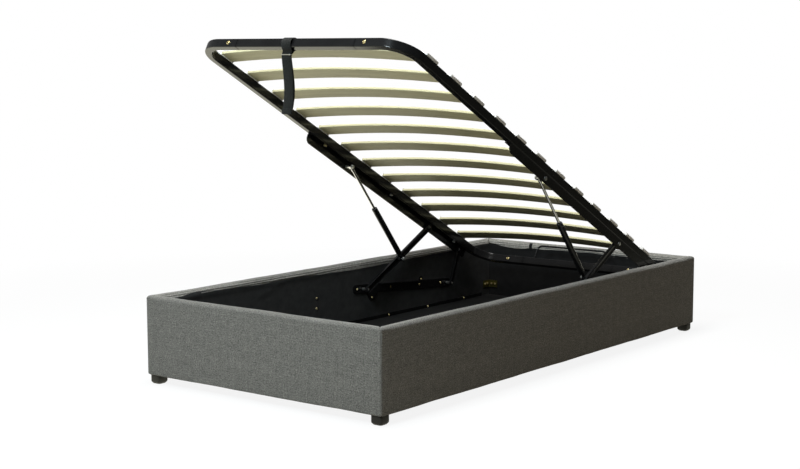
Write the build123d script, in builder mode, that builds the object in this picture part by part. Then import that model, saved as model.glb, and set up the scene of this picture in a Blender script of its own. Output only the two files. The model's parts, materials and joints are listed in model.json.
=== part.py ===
from build123d import *
from math import atan2, cos, degrees, hypot, radians, sin
import os

# Ottoman storage bed for a single mattress, with its lifting slat frame open.
# Millimetres, +Z up, +Y towards the hinged head end, +X to the right seen from the foot end.
# The origin is on the floor, below the middle of the box.

os.makedirs("parts", exist_ok=True)

# Storage box
bed_width = 1000.0
bed_length = 1985.0
panel_height = 266.0
board_thickness = 25.0
outer_padding = 9.0
top_padding = 8.0
fabric_thickness = 2.0
fabric_return = 28.0
lining_thickness = 1.5
mitre_gap = 0.4
outer_edge_radius = 14.0
inner_edge_radius = 10.0
lower_edge_radius = 4.0

# Feet under the four corners
foot_height = 30.0
foot_width = 42.0
foot_inset = 6.0
foot_corner_radius = 7.0
foot_taper = 6.0

# Storage floor: steel angles, cross battens and two loose panels
floor_angle_bottom = 40.0
floor_angle_leg = 30.0
floor_angle_shelf = 22.0
floor_angle_thickness = 2.0
floor_angle_end_gap = 60.0
batten_width = 60.0
batten_thickness = 12.0
batten_count = 5
floor_panel_thickness = 3.0
floor_clearance = 1.0

# Corner brackets inside the box
corner_leg = 44.0
corner_height = 30.0
corner_thickness = 2.5
corner_bend_radius = 4.0
corner_bottom = 90.0
corner_hole_near = 15.0
corner_hole_far = 33.0

# Pan head screws that hold brackets and rails to the boards
screw_radius = 2.4
screw_hole_radius = 2.6
screw_head_radius = 4.6
screw_head_height = 2.4
screw_head_taper = 20.0
screw_grip = 14.0
floor_screw_count = 7
floor_screw_drop = 7.0
wall_screw_from_foot = 781.0
wall_screw_low = 145.0
wall_screw_high = 184.0

# Lift linkage in the open position, seen from the side
front_pivot_from_head = 865.0
front_pivot_z = 187.0
rail_slope = 4.2
pivot_spacing = 550.0
front_arm_length = 444.0
front_arm_angle = 27.8
strut_pivot_along_arm = 217.6
lid_angle = 28.4
arm_pivot_from_head = 410.0
rear_pivot_from_head = 175.0
strut_pivot_from_head = 991.0
pivot_drop = 17.5

# Hinge rails screwed to the side boards
rail_thickness = 3.0
rail_height = 34.0
rail_front_overhang = 58.0
rail_rear_overhang = 26.0
rail_lip_start = 110.0
rail_lip_length = 240.0
rail_lip_depth = 9.0
lower_ear_start = 18.0
lower_ear_end = 108.0
lower_ear_screw = 61.0
lower_ear_drop = 37.0
lower_ear_half_width = 13.0
lower_ear_edge = 10.0
upper_ear_screw = 373.0
upper_ear_rise = 22.0
upper_ear_radius = 10.0
rail_screw_first = -34.0
rail_screw_second = 174.0
rail_screw_third = 363.0
rail_screw_last = 509.5

# Pivots: studs, sleeves and nuts
pivot_radius = 4.0
pivot_clearance = 0.1
side_clearance = 0.3
sleeve_radius = 6.0
nut_across_flats = 13.0
nut_height = 6.5
stud_tip = 2.0
bolt_head_height = 4.0

# Pressed arms
arm_gap = 1.5
arm_depth = 11.5
arm_sheet = 2.5
front_arm_height = 24.0
rear_arm_height = 20.0

# Gas struts
strut_inset = 28.0
strut_radius = 11.0
strut_body_length = 275.0
strut_body_start = 22.0
strut_end_radius = 3.0
strut_neck_radius = 6.0
rod_radius = 5.0
rod_clearance = 0.06
rod_hidden_length = 20.0
strut_stroke = 140.0
eye_radius = 9.0
eye_width = 11.0

# Lid frame of bent rectangular tube
lid_side_gap = 18.5
lid_head_gap = 11.5
lid_foot_gap = 9.2
tube_width = 25.0
tube_height = 30.5
tube_wall = 2.0
tube_corner_radius = 3.0
lid_corner_radius = 105.0
foot_joint_inset = 196.0
head_joint_inset = 232.0
joint_gap = 3.0
spigot_clearance = 0.3
spigot_wall = 2.0
spigot_length = 60.0
spigot_plug = 15.0
tube_screw_inset = 159.0
tube_screw_radius = 3.0
tube_screw_head_radius = 6.5
tube_screw_head_height = 3.0
tube_screw_head_taper = 25.0

# Lid brackets: angles below the side tubes
bracket_thickness = 3.0
bracket_drop = 33.5
bracket_start = 120.0
bracket_end = 1240.0
bracket_bend_radius = 2.5
bracket_front_radius = 22.0
bracket_rear_radius = 12.0
bracket_bolt_first = 226.0
bracket_bolt_middle = 700.0
bracket_bolt_last = 1146.0
bracket_bolt_grip = 9.0

# Sprung slats in plastic holders
slat_count = 12
slat_head_margin = 203.0
slat_foot_margin = 142.0
slat_width = 60.0
slat_thickness = 9.0
slat_crown = 20.0
slat_end_inset = 10.0
holder_overhang = 2.0
holder_depth = 25.0
holder_length = 66.0
holder_height = 16.5
holder_end_height = 7.5
holder_slope_run = 11.0
holder_floor = 3.0
holder_clearance = 0.2
holder_corner_radius = 2.0
holder_edge = 1.5

# Mattress retainer wire on the head tube
retainer_half_width = 165.0
retainer_rise = 58.0
retainer_wire_radius = 4.0
retainer_bend_radius = 22.0
retainer_depth = 16.0

# Pull strap round the foot tube
strap_x = -42.0
strap_width = 40.0
strap_thickness = 1.8
strap_loop_clearance = 0.3
strap_knee_drop = 110.0
strap_drop = 221.0
strap_front_sway = 6.0
strap_rear_sway = 10.0
strap_hem_height = 17.0
strap_hem_fold = 1.6
keeper_drop = 29.0
keeper_height = 3.0
keeper_wire = 1.5
keeper_clearance = 0.3
rivet_inset = 4.0
rivet_radius = 2.5
rivet_height = 1.2

# One overrun serves every through cut
overrun = 5.0

UP = Vector(0, 0, 1)
FOOT_INWARD = Vector(0, 1, 0)
HEAD_INWARD = Vector(0, -1, 0)
LEFT_INWARD = Vector(1, 0, 0)
RIGHT_INWARD = Vector(-1, 0, 0)

wall = outer_padding + board_thickness + fabric_thickness
lining_depth = outer_padding + board_thickness + lining_thickness
inside_x = bed_width / 2 - lining_depth
inside_y = bed_length / 2 - lining_depth
board_bottom = foot_height + fabric_thickness
board_height = panel_height - top_padding - fabric_thickness
lining_height = panel_height - fabric_return

# What fits inside the box takes its width and its length from the lining
lid_side_x = inside_x - lid_side_gap
lid_length = 2 * inside_y - lid_head_gap - lid_foot_gap
front_pivot_y = inside_y - front_pivot_from_head
arm_outer_face = lid_side_x - bracket_thickness - arm_gap
strut_centre_x = lid_side_x - strut_inset
foot_joint_x = lid_side_x - foot_joint_inset
head_joint_x = lid_side_x - head_joint_inset
tube_screw_x = lid_side_x - tube_screw_inset
slat_pitch = (lid_length - slat_head_margin - slat_foot_margin) / (slat_count - 1)
slat_end_x = lid_side_x - slat_end_inset
holder_outer_x = lid_side_x + holder_overhang
holder_inner_x = holder_outer_x - holder_depth

# Panels: the way inwards, half the box across that panel, and the panel's length
panels = {
    "foot": (FOOT_INWARD, bed_length / 2, bed_width),
    "head": (HEAD_INWARD, bed_length / 2, bed_width),
    "side_left": (LEFT_INWARD, bed_width / 2, bed_length),
    "side_right": (RIGHT_INWARD, bed_width / 2, bed_length),
}


def save(piece, name):
    """Labels a finished piece and writes it."""
    piece.part.label = name
    export_step(piece.part, f"parts/{name}.step")


def save_pair(piece, name):
    """Writes a left piece and its mirror image on the right."""
    save(piece, f"{name}_left")
    with BuildPart() as other:
        mirror(piece.part, about=Plane.YZ)
    save(other, f"{name}_right")


def section_plane(inward, half_span):
    """Across a panel: local x runs inwards from its outer face, local y up from its lower edge."""
    origin = UP * foot_height - inward * half_span
    return Plane(origin=origin, x_dir=inward, z_dir=inward.cross(UP))


def plan_plane(inward, half_span):
    """Along a panel from above: local x runs along it, local y inwards."""
    origin = UP * foot_height - inward * half_span
    return Plane(origin=origin, x_dir=inward.cross(UP), z_dir=UP)


def face_plane(inward, half_span, depth):
    """On a panel at a depth from its outer face, at floor height, facing inwards."""
    origin = inward * (depth - half_span)
    return Plane(origin=origin, x_dir=UP.cross(inward), z_dir=inward)


def rail_point(along, rise=0.0):
    """Side view point (y, z) on a hinge rail, from its front pivot towards the head and up."""
    slope = radians(rail_slope)
    y = front_pivot_y + along * cos(slope) + rise * sin(slope)
    z = front_pivot_z - along * sin(slope) + rise * cos(slope)
    return y, z


# Linkage points in the side view, as (y, z)
front_pivot = (front_pivot_y, front_pivot_z)
rear_pivot = rail_point(pivot_spacing)
arm = radians(front_arm_angle)
lid_tilt = radians(lid_angle)
arm_top = (front_pivot_y + front_arm_length * cos(arm), front_pivot_z + front_arm_length * sin(arm))
strut_bottom = (
    front_pivot_y + strut_pivot_along_arm * cos(arm),
    front_pivot_z + strut_pivot_along_arm * sin(arm),
)

# Directions of the tilted lid, and its head end corner under the tube
LID_FOOTWARD = Vector(0, -cos(lid_tilt), sin(lid_tilt))
LID_UP = Vector(0, sin(lid_tilt), cos(lid_tilt))
LID_ORIGIN = (
    Vector(0, arm_top[0], arm_top[1]) - LID_FOOTWARD * arm_pivot_from_head + LID_UP * pivot_drop
)


def lid_point(x, s, h):
    """Point in the lid: x across, s from its head end, h above the underside of its tubes."""
    return LID_ORIGIN + Vector(x, 0, 0) + LID_FOOTWARD * s + LID_UP * h


def lid_plan(h, s=0.0):
    """Plane parallel to the lid: local x across, local y towards the head."""
    return Plane(origin=lid_point(0, s, h), x_dir=(1, 0, 0), z_dir=LID_UP)


def lid_cross(s):
    """Plane across the lid: local x across, local y up from the tubes' underside."""
    return Plane(origin=lid_point(0, s, 0), x_dir=(1, 0, 0), z_dir=LID_FOOTWARD)


def lid_side(x):
    """Plane along the lid, facing +X: local x towards the head, local y up."""
    return Plane(origin=lid_point(x, 0, 0), x_dir=LID_FOOTWARD * -1, z_dir=(1, 0, 0))


def side_plane(x, point, angle=0.0):
    """Upright plane facing +X through a side view point, its local x raised from +Y by an angle."""
    turn = radians(angle)
    return Plane(origin=(x, point[0], point[1]), x_dir=(0, cos(turn), sin(turn)), z_dir=(1, 0, 0))


def side_view(point):
    """The (y, z) of a point in space."""
    return point.Y, point.Z


rear_top = side_view(lid_point(0, rear_pivot_from_head, -pivot_drop))
strut_top = side_view(lid_point(0, strut_pivot_from_head, -pivot_drop))
rear_arm_length = hypot(rear_top[0] - rear_pivot[0], rear_top[1] - rear_pivot[1])
rear_arm_angle = degrees(atan2(rear_top[1] - rear_pivot[1], rear_top[0] - rear_pivot[0]))
strut_length = hypot(strut_top[0] - strut_bottom[0], strut_top[1] - strut_bottom[1])
strut_angle = degrees(atan2(strut_top[1] - strut_bottom[1], strut_top[0] - strut_bottom[0]))

# Screws in the boards: panel, place along it, height above the floor, thickness under the head
board_screws = []
for sign in (-1, 1):
    for reach in (corner_hole_near, corner_hole_far):
        for end in ("foot", "head"):
            height = corner_bottom + corner_height / 2
            board_screws.append((end, sign * (inside_x - reach), height, corner_thickness))
        for side in ("side_left", "side_right"):
            height = corner_bottom + corner_height / 2
            board_screws.append((side, sign * (inside_y - reach), height, corner_thickness))
rail_screws = [
    rail_point(rail_screw_first),
    rail_point(rail_screw_second),
    rail_point(rail_screw_third),
    rail_point(rail_screw_last),
    rail_point(upper_ear_screw, upper_ear_rise),
    rail_point(lower_ear_screw, -lower_ear_drop),
]
floor_angle_length = 2 * (inside_y - floor_angle_end_gap)
floor_screw_pitch = floor_angle_length / floor_screw_count
for side in ("side_left", "side_right"):
    for y, z in rail_screws:
        board_screws.append((side, y, z, rail_thickness))
    for z in (wall_screw_low, wall_screw_high):
        board_screws.append((side, wall_screw_from_foot - inside_y, z, 0))
    for k in range(floor_screw_count):
        y = (k + 0.5 - floor_screw_count / 2) * floor_screw_pitch
        z = floor_angle_bottom + floor_angle_leg - floor_screw_drop
        board_screws.append((side, y, z, floor_angle_thickness))


def screw_places(name, plane):
    """The screws of one panel, in a plane on it, with the thickness under each head."""
    sideways = name.startswith("side")
    places = []
    for panel, along, height, seat in board_screws:
        if panel == name:
            point = Vector(0, along, height) if sideways else Vector(along, 0, height)
            local = plane.to_local_coords(point)
            places.append(((local.X, local.Y), seat))
    return places


def mitred(name, section):
    """A panel's section run along its length, with both ends mitred."""
    inward, half_span, length = panels[name]
    reach = length / 2 - mitre_gap
    with BuildPart() as piece:
        with BuildSketch(section_plane(inward, half_span)):
            add(section)
        extrude(amount=length / 2, both=True)
        with BuildSketch(plan_plane(inward, half_span)):
            Polygon((-reach, 0), (reach, 0), (reach - wall, wall), (wall - reach, wall), align=None)
        extrude(amount=panel_height, mode=Mode.INTERSECT)
    return piece


def drilled(name, blank):
    """A panel piece with a pilot hole for each of its screws."""
    inward, half_span, length = panels[name]
    plane = face_plane(inward, half_span, lining_depth)
    with BuildPart() as piece:
        add(blank.part)
        with BuildSketch(plane):
            with Locations(*[place for place, seat in screw_places(name, plane)]):
                Circle(screw_hole_radius)
        extrude(amount=-(lining_thickness + screw_grip + overrun), mode=Mode.SUBTRACT)
    return piece


# Sections of the panel pieces, with x inwards from the outer face and y up
with BuildSketch() as board_section:
    with Locations((outer_padding, fabric_thickness)):
        Rectangle(board_thickness, board_height, align=Align.MIN)

with BuildSketch() as cover_section:
    Rectangle(wall, panel_height, align=Align.MIN)
    upper = cover_section.vertices().group_by(Axis.Y)[-1].sort_by(Axis.X)
    fillet(upper[0], radius=outer_edge_radius)
    upper = cover_section.vertices().sort_by(Axis.X).group_by(Axis.X)[-1].sort_by(Axis.Y)
    fillet(upper[-1], radius=inner_edge_radius)
    lower = cover_section.vertices().group_by(Axis.Y)[0].sort_by(Axis.X)
    fillet(lower[0], radius=lower_edge_radius)
    add(board_section.sketch, mode=Mode.SUBTRACT)
    with Locations((outer_padding + board_thickness, 0)):
        Rectangle(fabric_thickness, lining_height, align=Align.MIN, mode=Mode.SUBTRACT)

with BuildSketch() as lining_section:
    with Locations((outer_padding + board_thickness, 0)):
        Rectangle(lining_thickness, lining_height, align=Align.MIN)

# Boards, padded covers and lining
lining_sheets = [drilled(name, mitred(name, lining_section.sketch)) for name in panels]
with BuildPart() as storage_lining:
    for sheet in lining_sheets:
        add(sheet.part)
save(storage_lining, "storage_lining")
for name in panels:
    save(drilled(name, mitred(name, board_section.sketch)), f"{name}_board")
    save(mitred(name, cover_section.sketch), f"{name}_cover")

# Corner brackets, bent round each inside corner
with BuildPart() as corner_brackets:
    with BuildSketch(Plane.XY.offset(corner_bottom)) as outline:
        with Locations((-inside_x, inside_y)):
            Rectangle(corner_leg, corner_leg, align=(Align.MIN, Align.MAX))
        with Locations((-inside_x + corner_thickness, inside_y - corner_thickness)):
            Rectangle(corner_leg, corner_leg, align=(Align.MIN, Align.MAX), mode=Mode.SUBTRACT)
        bend = outline.vertices().sort_by_distance((-inside_x, inside_y))
        fillet(bend[0], radius=corner_bend_radius)
        bend_inside = (-inside_x + corner_thickness, inside_y - corner_thickness)
        bend = outline.vertices().sort_by_distance(bend_inside)
        fillet(bend[0], radius=corner_bend_radius - corner_thickness)
    extrude(amount=corner_height)
    middle = corner_bottom + corner_height / 2
    for inward, half_span, corner, way in (
        (LEFT_INWARD, inside_x, inside_y, -1),
        (HEAD_INWARD, inside_y, -inside_x, 1),
    ):
        with BuildSketch(face_plane(inward, half_span, 0)):
            with Locations(
                (corner + way * corner_hole_near, middle), (corner + way * corner_hole_far, middle)
            ):
                Circle(screw_hole_radius)
        extrude(amount=corner_thickness + overrun, mode=Mode.SUBTRACT)
    mirror(about=Plane.XZ)
    mirror(about=Plane.YZ)
save(corner_brackets, "corner_brackets")

# Screws of the corner brackets, hinge rails and floor angles
with BuildPart() as assembly_screws:
    for name, (inward, half_span, length) in panels.items():
        plane = face_plane(inward, half_span, lining_depth)
        for place, seat in screw_places(name, plane):
            with BuildSketch(plane.offset(seat)):
                with Locations(place):
                    Circle(screw_head_radius)
            extrude(amount=screw_head_height, taper=screw_head_taper)
            with BuildSketch(plane.offset(seat)):
                with Locations(place):
                    Circle(screw_radius)
            extrude(amount=-(seat + lining_thickness + screw_grip))
save(assembly_screws, "assembly_screws")

# Feet
foot_reach_x = bed_width / 2 - foot_inset - foot_width / 2
foot_reach_y = bed_length / 2 - foot_inset - foot_width / 2
for end, y in (("foot", -foot_reach_y), ("head", foot_reach_y)):
    for side, x in (("left", -foot_reach_x), ("right", foot_reach_x)):
        with BuildPart() as foot:
            with BuildSketch():
                with Locations((x, y)):
                    RectangleRounded(foot_width, foot_width, foot_corner_radius)
            extrude(amount=foot_height)
            chamfer(foot.faces().sort_by(Axis.Z)[0].edges(), length=foot_taper)
        save(foot, f"corner_foot_{end}_{side}")

# Floor angles on the side boards
with BuildPart() as floor_angle:
    with BuildSketch(Plane.XZ.offset(-floor_angle_length / 2)):
        with Locations((-inside_x, floor_angle_bottom)):
            Rectangle(floor_angle_thickness, floor_angle_leg, align=Align.MIN)
            Rectangle(floor_angle_shelf, floor_angle_thickness, align=Align.MIN)
    extrude(amount=floor_angle_length)
    with BuildSketch(face_plane(LEFT_INWARD, inside_x, 0)) as holes:
        height = floor_angle_bottom + floor_angle_leg - floor_screw_drop
        with Locations((0, height)):
            with GridLocations(floor_screw_pitch, 0, floor_screw_count, 1):
                Circle(screw_hole_radius)
    extrude(amount=floor_angle_thickness + overrun, mode=Mode.SUBTRACT)
save_pair(floor_angle, "floor_angle")

# Cross battens on the angles, and two floor panels on the battens
batten_bottom = floor_angle_bottom + floor_angle_thickness
batten_reach = inside_x - floor_angle_thickness - floor_clearance
batten_pitch = (floor_angle_length - batten_width) / (batten_count - 1)
with BuildPart() as floor_battens:
    with BuildSketch(Plane.XY.offset(batten_bottom)):
        with GridLocations(0, batten_pitch, 1, batten_count):
            Rectangle(2 * batten_reach, batten_width)
    extrude(amount=batten_thickness)
save(floor_battens, "floor_battens")

with BuildPart() as floor_panels:
    with BuildSketch(Plane.XY.offset(batten_bottom + batten_thickness)):
        panel_length = inside_y - floor_clearance
        with GridLocations(0, panel_length, 1, 2):
            Rectangle(2 * batten_reach, panel_length - floor_clearance)
    extrude(amount=floor_panel_thickness)
save(floor_panels, "floor_panels")

# Hinge rails: pressed plates with a stiffening lip and two screw ears
rail_plane = side_plane(-inside_x, front_pivot, -rail_slope)
with BuildPart() as hinge_rail:
    with BuildSketch(rail_plane) as outline:
        span = rail_front_overhang + pivot_spacing + rail_rear_overhang
        with Locations(((pivot_spacing + rail_rear_overhang - rail_front_overhang) / 2, 0)):
            SlotOverall(span, rail_height)
        with BuildLine():
            Polyline(
                (lower_ear_start, 0),
                (lower_ear_screw - lower_ear_half_width, -lower_ear_drop - lower_ear_edge),
                (lower_ear_screw + lower_ear_half_width, -lower_ear_drop - lower_ear_edge),
                (lower_ear_end, 0),
                close=True,
            )
        make_face()
        with Locations((upper_ear_screw, upper_ear_rise)):
            Circle(upper_ear_radius)
        with Locations((upper_ear_screw, upper_ear_rise / 2)):
            Rectangle(2 * upper_ear_radius, upper_ear_rise)
        ear_corners = outline.vertices().group_by(Axis.Y)[0]
        fillet(ear_corners, radius=lower_ear_edge)
    extrude(amount=rail_thickness)
    with BuildSketch(rail_plane.offset(rail_thickness)):
        with Locations((rail_lip_start, rail_height / 2 - rail_thickness)):
            Rectangle(rail_lip_length, rail_thickness, align=Align.MIN)
    extrude(amount=rail_lip_depth)
    with BuildSketch(rail_plane):
        with Locations((rail_screw_first, 0), (rail_screw_second, 0), (rail_screw_third, 0)):
            Circle(screw_hole_radius)
        with Locations((rail_screw_last, 0), (upper_ear_screw, upper_ear_rise)):
            Circle(screw_hole_radius)
        with Locations((lower_ear_screw, -lower_ear_drop)):
            Circle(screw_hole_radius)
    extrude(amount=rail_thickness, mode=Mode.SUBTRACT)
save_pair(hinge_rail, "hinge_rail")

# Welded studs on the rails, with spacer sleeves and nuts that hold the arms
stud_end = arm_outer_face - arm_sheet - nut_height - stud_tip
with BuildPart() as hinge_rail_studs:
    for pivot in (front_pivot, rear_pivot):
        with BuildSketch(side_plane(-inside_x + rail_thickness, pivot)):
            Circle(sleeve_radius)
        extrude(amount=inside_x - rail_thickness - arm_outer_face - side_clearance)
        with BuildSketch(side_plane(-inside_x + rail_thickness, pivot)):
            Circle(pivot_radius)
        extrude(amount=inside_x - rail_thickness - stud_end)
        with BuildSketch(side_plane(-(arm_outer_face - arm_sheet - side_clearance), pivot)):
            RegularPolygon(nut_across_flats / 2, 6, major_radius=False)
            Circle(pivot_radius, mode=Mode.SUBTRACT)
        extrude(amount=nut_height - side_clearance)
    mirror(about=Plane.YZ)
save(hinge_rail_studs, "hinge_rail_studs")


def pressed_arm(pivot, angle, length, height):
    """A pressed arm with a rim all round, open inwards, with a bore at each end."""
    plane = side_plane(-arm_outer_face, pivot, angle)
    with BuildPart() as piece:
        with BuildSketch(plane):
            with Locations((length / 2, 0)):
                SlotCenterToCenter(length, height)
        extrude(amount=arm_depth)
        with BuildSketch(plane.offset(arm_sheet)):
            with Locations((length / 2, 0)):
                SlotCenterToCenter(length, height - 2 * arm_sheet)
        extrude(amount=arm_depth, mode=Mode.SUBTRACT)
        with BuildSketch(plane):
            with Locations((0, 0), (length, 0)):
                Circle(pivot_radius + pivot_clearance)
        extrude(amount=arm_sheet, mode=Mode.SUBTRACT)
    return piece


front_arm = pressed_arm(front_pivot, front_arm_angle, front_arm_length, front_arm_height)
save_pair(front_arm, "front_arm")
rear_arm = pressed_arm(rear_pivot, rear_arm_angle, rear_arm_length, rear_arm_height)
save_pair(rear_arm, "rear_arm")

# Bolt at the top of the front arm, and the welded stud that carries the strut
strut_inner_x = strut_centre_x - eye_width / 2
strut_outer_x = strut_centre_x + eye_width / 2
with BuildPart() as front_arm_bolts:
    head_x = lid_side_x + side_clearance
    with BuildSketch(side_plane(-head_x, arm_top)):
        RegularPolygon(nut_across_flats / 2, 6, major_radius=False)
    extrude(amount=-bolt_head_height)
    with BuildSketch(side_plane(-head_x, arm_top)):
        Circle(pivot_radius)
    extrude(amount=head_x - stud_end)
    with BuildSketch(side_plane(-(arm_outer_face - arm_sheet), arm_top)):
        RegularPolygon(nut_across_flats / 2, 6, major_radius=False)
        Circle(pivot_radius, mode=Mode.SUBTRACT)
    extrude(amount=nut_height)
    with BuildSketch(side_plane(-(arm_outer_face - arm_sheet), strut_bottom)):
        Circle(sleeve_radius)
    extrude(amount=arm_outer_face - arm_sheet - strut_outer_x - side_clearance)
    with BuildSketch(side_plane(-(arm_outer_face - arm_sheet), strut_bottom)):
        Circle(pivot_radius)
    extrude(amount=arm_outer_face - arm_sheet - strut_inner_x + nut_height + stud_tip)
    with BuildSketch(side_plane(-(strut_inner_x - side_clearance), strut_bottom)):
        RegularPolygon(nut_across_flats / 2, 6, major_radius=False)
        Circle(pivot_radius, mode=Mode.SUBTRACT)
    extrude(amount=nut_height)
save_pair(front_arm_bolts, "front_arm_bolts")

# Bolt at the top of the rear arm
with BuildPart() as rear_arm_bolt:
    bolt_start = lid_side_x - bracket_thickness - side_clearance
    with BuildSketch(side_plane(-bolt_start, rear_top)):
        Circle(pivot_radius)
    extrude(amount=bolt_start - stud_end)
    with BuildSketch(side_plane(-(arm_outer_face - arm_sheet), rear_top)):
        RegularPolygon(nut_across_flats / 2, 6, major_radius=False)
        Circle(pivot_radius, mode=Mode.SUBTRACT)
    extrude(amount=nut_height)
save_pair(rear_arm_bolt, "rear_arm_bolt")

# Gas struts: a cylinder with its bore and eye, and a rod with its eye
strut_plane = side_plane(-strut_centre_x, strut_bottom, strut_angle)
strut_axis = Axis(strut_plane.origin, strut_plane.x_dir)
rod_start = strut_body_length - rod_hidden_length
with BuildPart() as strut_cylinder:
    with BuildSketch(strut_plane) as outline:
        with BuildLine():
            Polyline(
                (0, 0),
                (0, strut_neck_radius),
                (strut_body_start, strut_neck_radius),
                (strut_body_start, strut_radius),
                (strut_body_length, strut_radius),
                (strut_body_length, 0),
                close=True,
            )
        make_face()
        shoulders = outline.vertices().group_by(Axis.Y)[-1]
        fillet(shoulders, radius=strut_end_radius)
    revolve(axis=strut_axis)
    with BuildSketch(strut_plane):
        Circle(eye_radius)
    extrude(amount=eye_width / 2, both=True)
    with BuildSketch(strut_plane):
        Circle(pivot_radius + pivot_clearance)
    extrude(amount=strut_radius, both=True, mode=Mode.SUBTRACT)
    for way in (-1, 1):
        with BuildSketch(strut_plane.offset(way * eye_width / 2)):
            Circle(eye_radius + side_clearance)
        extrude(amount=way * strut_radius, mode=Mode.SUBTRACT)
    with BuildSketch(strut_plane):
        with Locations((rod_start - strut_stroke, 0)):
            Rectangle(
                rod_hidden_length + strut_stroke + overrun,
                rod_radius + rod_clearance,
                align=Align.MIN,
            )
    revolve(axis=strut_axis, mode=Mode.SUBTRACT)
save_pair(strut_cylinder, "strut_cylinder")

with BuildPart() as strut_rod:
    with BuildSketch(strut_plane):
        with Locations((rod_start, 0)):
            Rectangle(strut_length - rod_start, rod_radius, align=Align.MIN)
    revolve(axis=strut_axis)
    with BuildSketch(strut_plane):
        with Locations((strut_length, 0)):
            Circle(eye_radius)
    extrude(amount=eye_width / 2, both=True)
    with BuildSketch(strut_plane):
        with Locations((strut_length, 0)):
            Circle(pivot_radius + pivot_clearance)
    extrude(amount=eye_width, both=True, mode=Mode.SUBTRACT)
save_pair(strut_rod, "strut_rod")

with BuildPart() as strut_rod_bolt:
    bolt_start = lid_side_x - bracket_thickness - side_clearance
    with BuildSketch(side_plane(-bolt_start, strut_top)):
        Circle(pivot_radius)
    extrude(amount=bolt_start - strut_inner_x + nut_height + stud_tip)
    with BuildSketch(side_plane(-bolt_start, strut_top)):
        Circle(sleeve_radius)
    extrude(amount=bolt_start - strut_outer_x - side_clearance)
    with BuildSketch(side_plane(-(strut_inner_x - side_clearance), strut_top)):
        RegularPolygon(nut_across_flats / 2, 6, major_radius=False)
        Circle(pivot_radius, mode=Mode.SUBTRACT)
    extrude(amount=nut_height)
save_pair(strut_rod_bolt, "strut_rod_bolt")

# Lid side tubes: one bent tube each, whose ends turn in along the foot and the head
tube_centre_x = lid_side_x - tube_width / 2
tube_centre_end = tube_width / 2
tube_middle = tube_height / 2
bend_radius = lid_corner_radius - tube_width / 2
bolt_places = (bracket_bolt_first, bracket_bolt_middle, bracket_bolt_last)
with BuildSketch() as tube_section:
    RectangleRounded(tube_width, tube_height, tube_corner_radius)
    RectangleRounded(
        tube_width - 2 * tube_wall,
        tube_height - 2 * tube_wall,
        tube_corner_radius / 2,
        mode=Mode.SUBTRACT,
    )

with BuildPart() as lid_side_tube:
    with BuildLine(lid_plan(tube_middle)) as route:
        FilletPolyline(
            (-foot_joint_x, -(lid_length - tube_centre_end)),
            (-tube_centre_x, -(lid_length - tube_centre_end)),
            (-tube_centre_x, -tube_centre_end),
            (-head_joint_x, -tube_centre_end),
            radius=bend_radius,
        )
    start = lid_point(-foot_joint_x, lid_length - tube_centre_end, tube_middle)
    with BuildSketch(Plane(origin=start, x_dir=LID_FOOTWARD, z_dir=(-1, 0, 0))):
        add(tube_section.sketch)
    sweep()
    with BuildSketch(lid_plan(0)):
        with Locations(*[(-tube_centre_x, -s) for s in bolt_places]):
            Circle(pivot_radius + pivot_clearance)
    extrude(amount=tube_wall + overrun, mode=Mode.SUBTRACT)
    for s, way in ((lid_length, -1), (tube_width, -1)):
        with BuildSketch(lid_cross(s)):
            with Locations((-tube_screw_x, tube_middle)):
                Circle(tube_screw_radius + pivot_clearance)
        extrude(amount=way * (tube_wall + overrun), mode=Mode.SUBTRACT)
save_pair(lid_side_tube, "lid_side_tube")


def cross_tube(centre_s, joint_x, screw_way):
    """A straight tube between two stubs, with a spigot at each end that slides into them."""
    half = joint_x - joint_gap
    inner_width = tube_width - 2 * tube_wall
    inner_height = tube_height - 2 * tube_wall
    fit = 2 * spigot_clearance
    with BuildPart() as piece:
        for way in (-1, 1):
            facing = (way, 0, 0)
            middle = Plane(origin=lid_point(0, centre_s, tube_middle), x_dir=LID_FOOTWARD, z_dir=facing)
            with BuildSketch(middle):
                add(tube_section.sketch)
            extrude(amount=half)
            with BuildSketch(middle.offset(half - spigot_plug)):
                Rectangle(inner_width, inner_height)
                Rectangle(
                    inner_width - fit - 2 * spigot_wall,
                    inner_height - fit - 2 * spigot_wall,
                    mode=Mode.SUBTRACT,
                )
            extrude(amount=spigot_plug)
            with BuildSketch(middle.offset(half)):
                RectangleRounded(inner_width - fit, inner_height - fit, tube_corner_radius / 2)
                Rectangle(
                    inner_width - fit - 2 * spigot_wall,
                    inner_height - fit - 2 * spigot_wall,
                    mode=Mode.SUBTRACT,
                )
            extrude(amount=joint_gap + spigot_length)
        with BuildSketch(lid_cross(centre_s)):
            with Locations((-tube_screw_x, tube_middle), (tube_screw_x, tube_middle)):
                Circle(tube_screw_radius + pivot_clearance)
        extrude(amount=screw_way * tube_width, mode=Mode.SUBTRACT)
    return piece


foot_tube_s = lid_length - tube_centre_end
save(cross_tube(foot_tube_s, foot_joint_x, 1), "lid_foot_tube")
head_tube = cross_tube(tube_centre_end, head_joint_x, 1)
with BuildPart() as lid_head_tube:
    add(head_tube.part)
    with BuildSketch(lid_plan(tube_height, tube_centre_end)):
        with Locations((-retainer_half_width, 0), (retainer_half_width, 0)):
            Circle(retainer_wire_radius + pivot_clearance)
    extrude(amount=-(tube_wall + overrun), mode=Mode.SUBTRACT)
save(lid_head_tube, "lid_head_tube")

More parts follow.
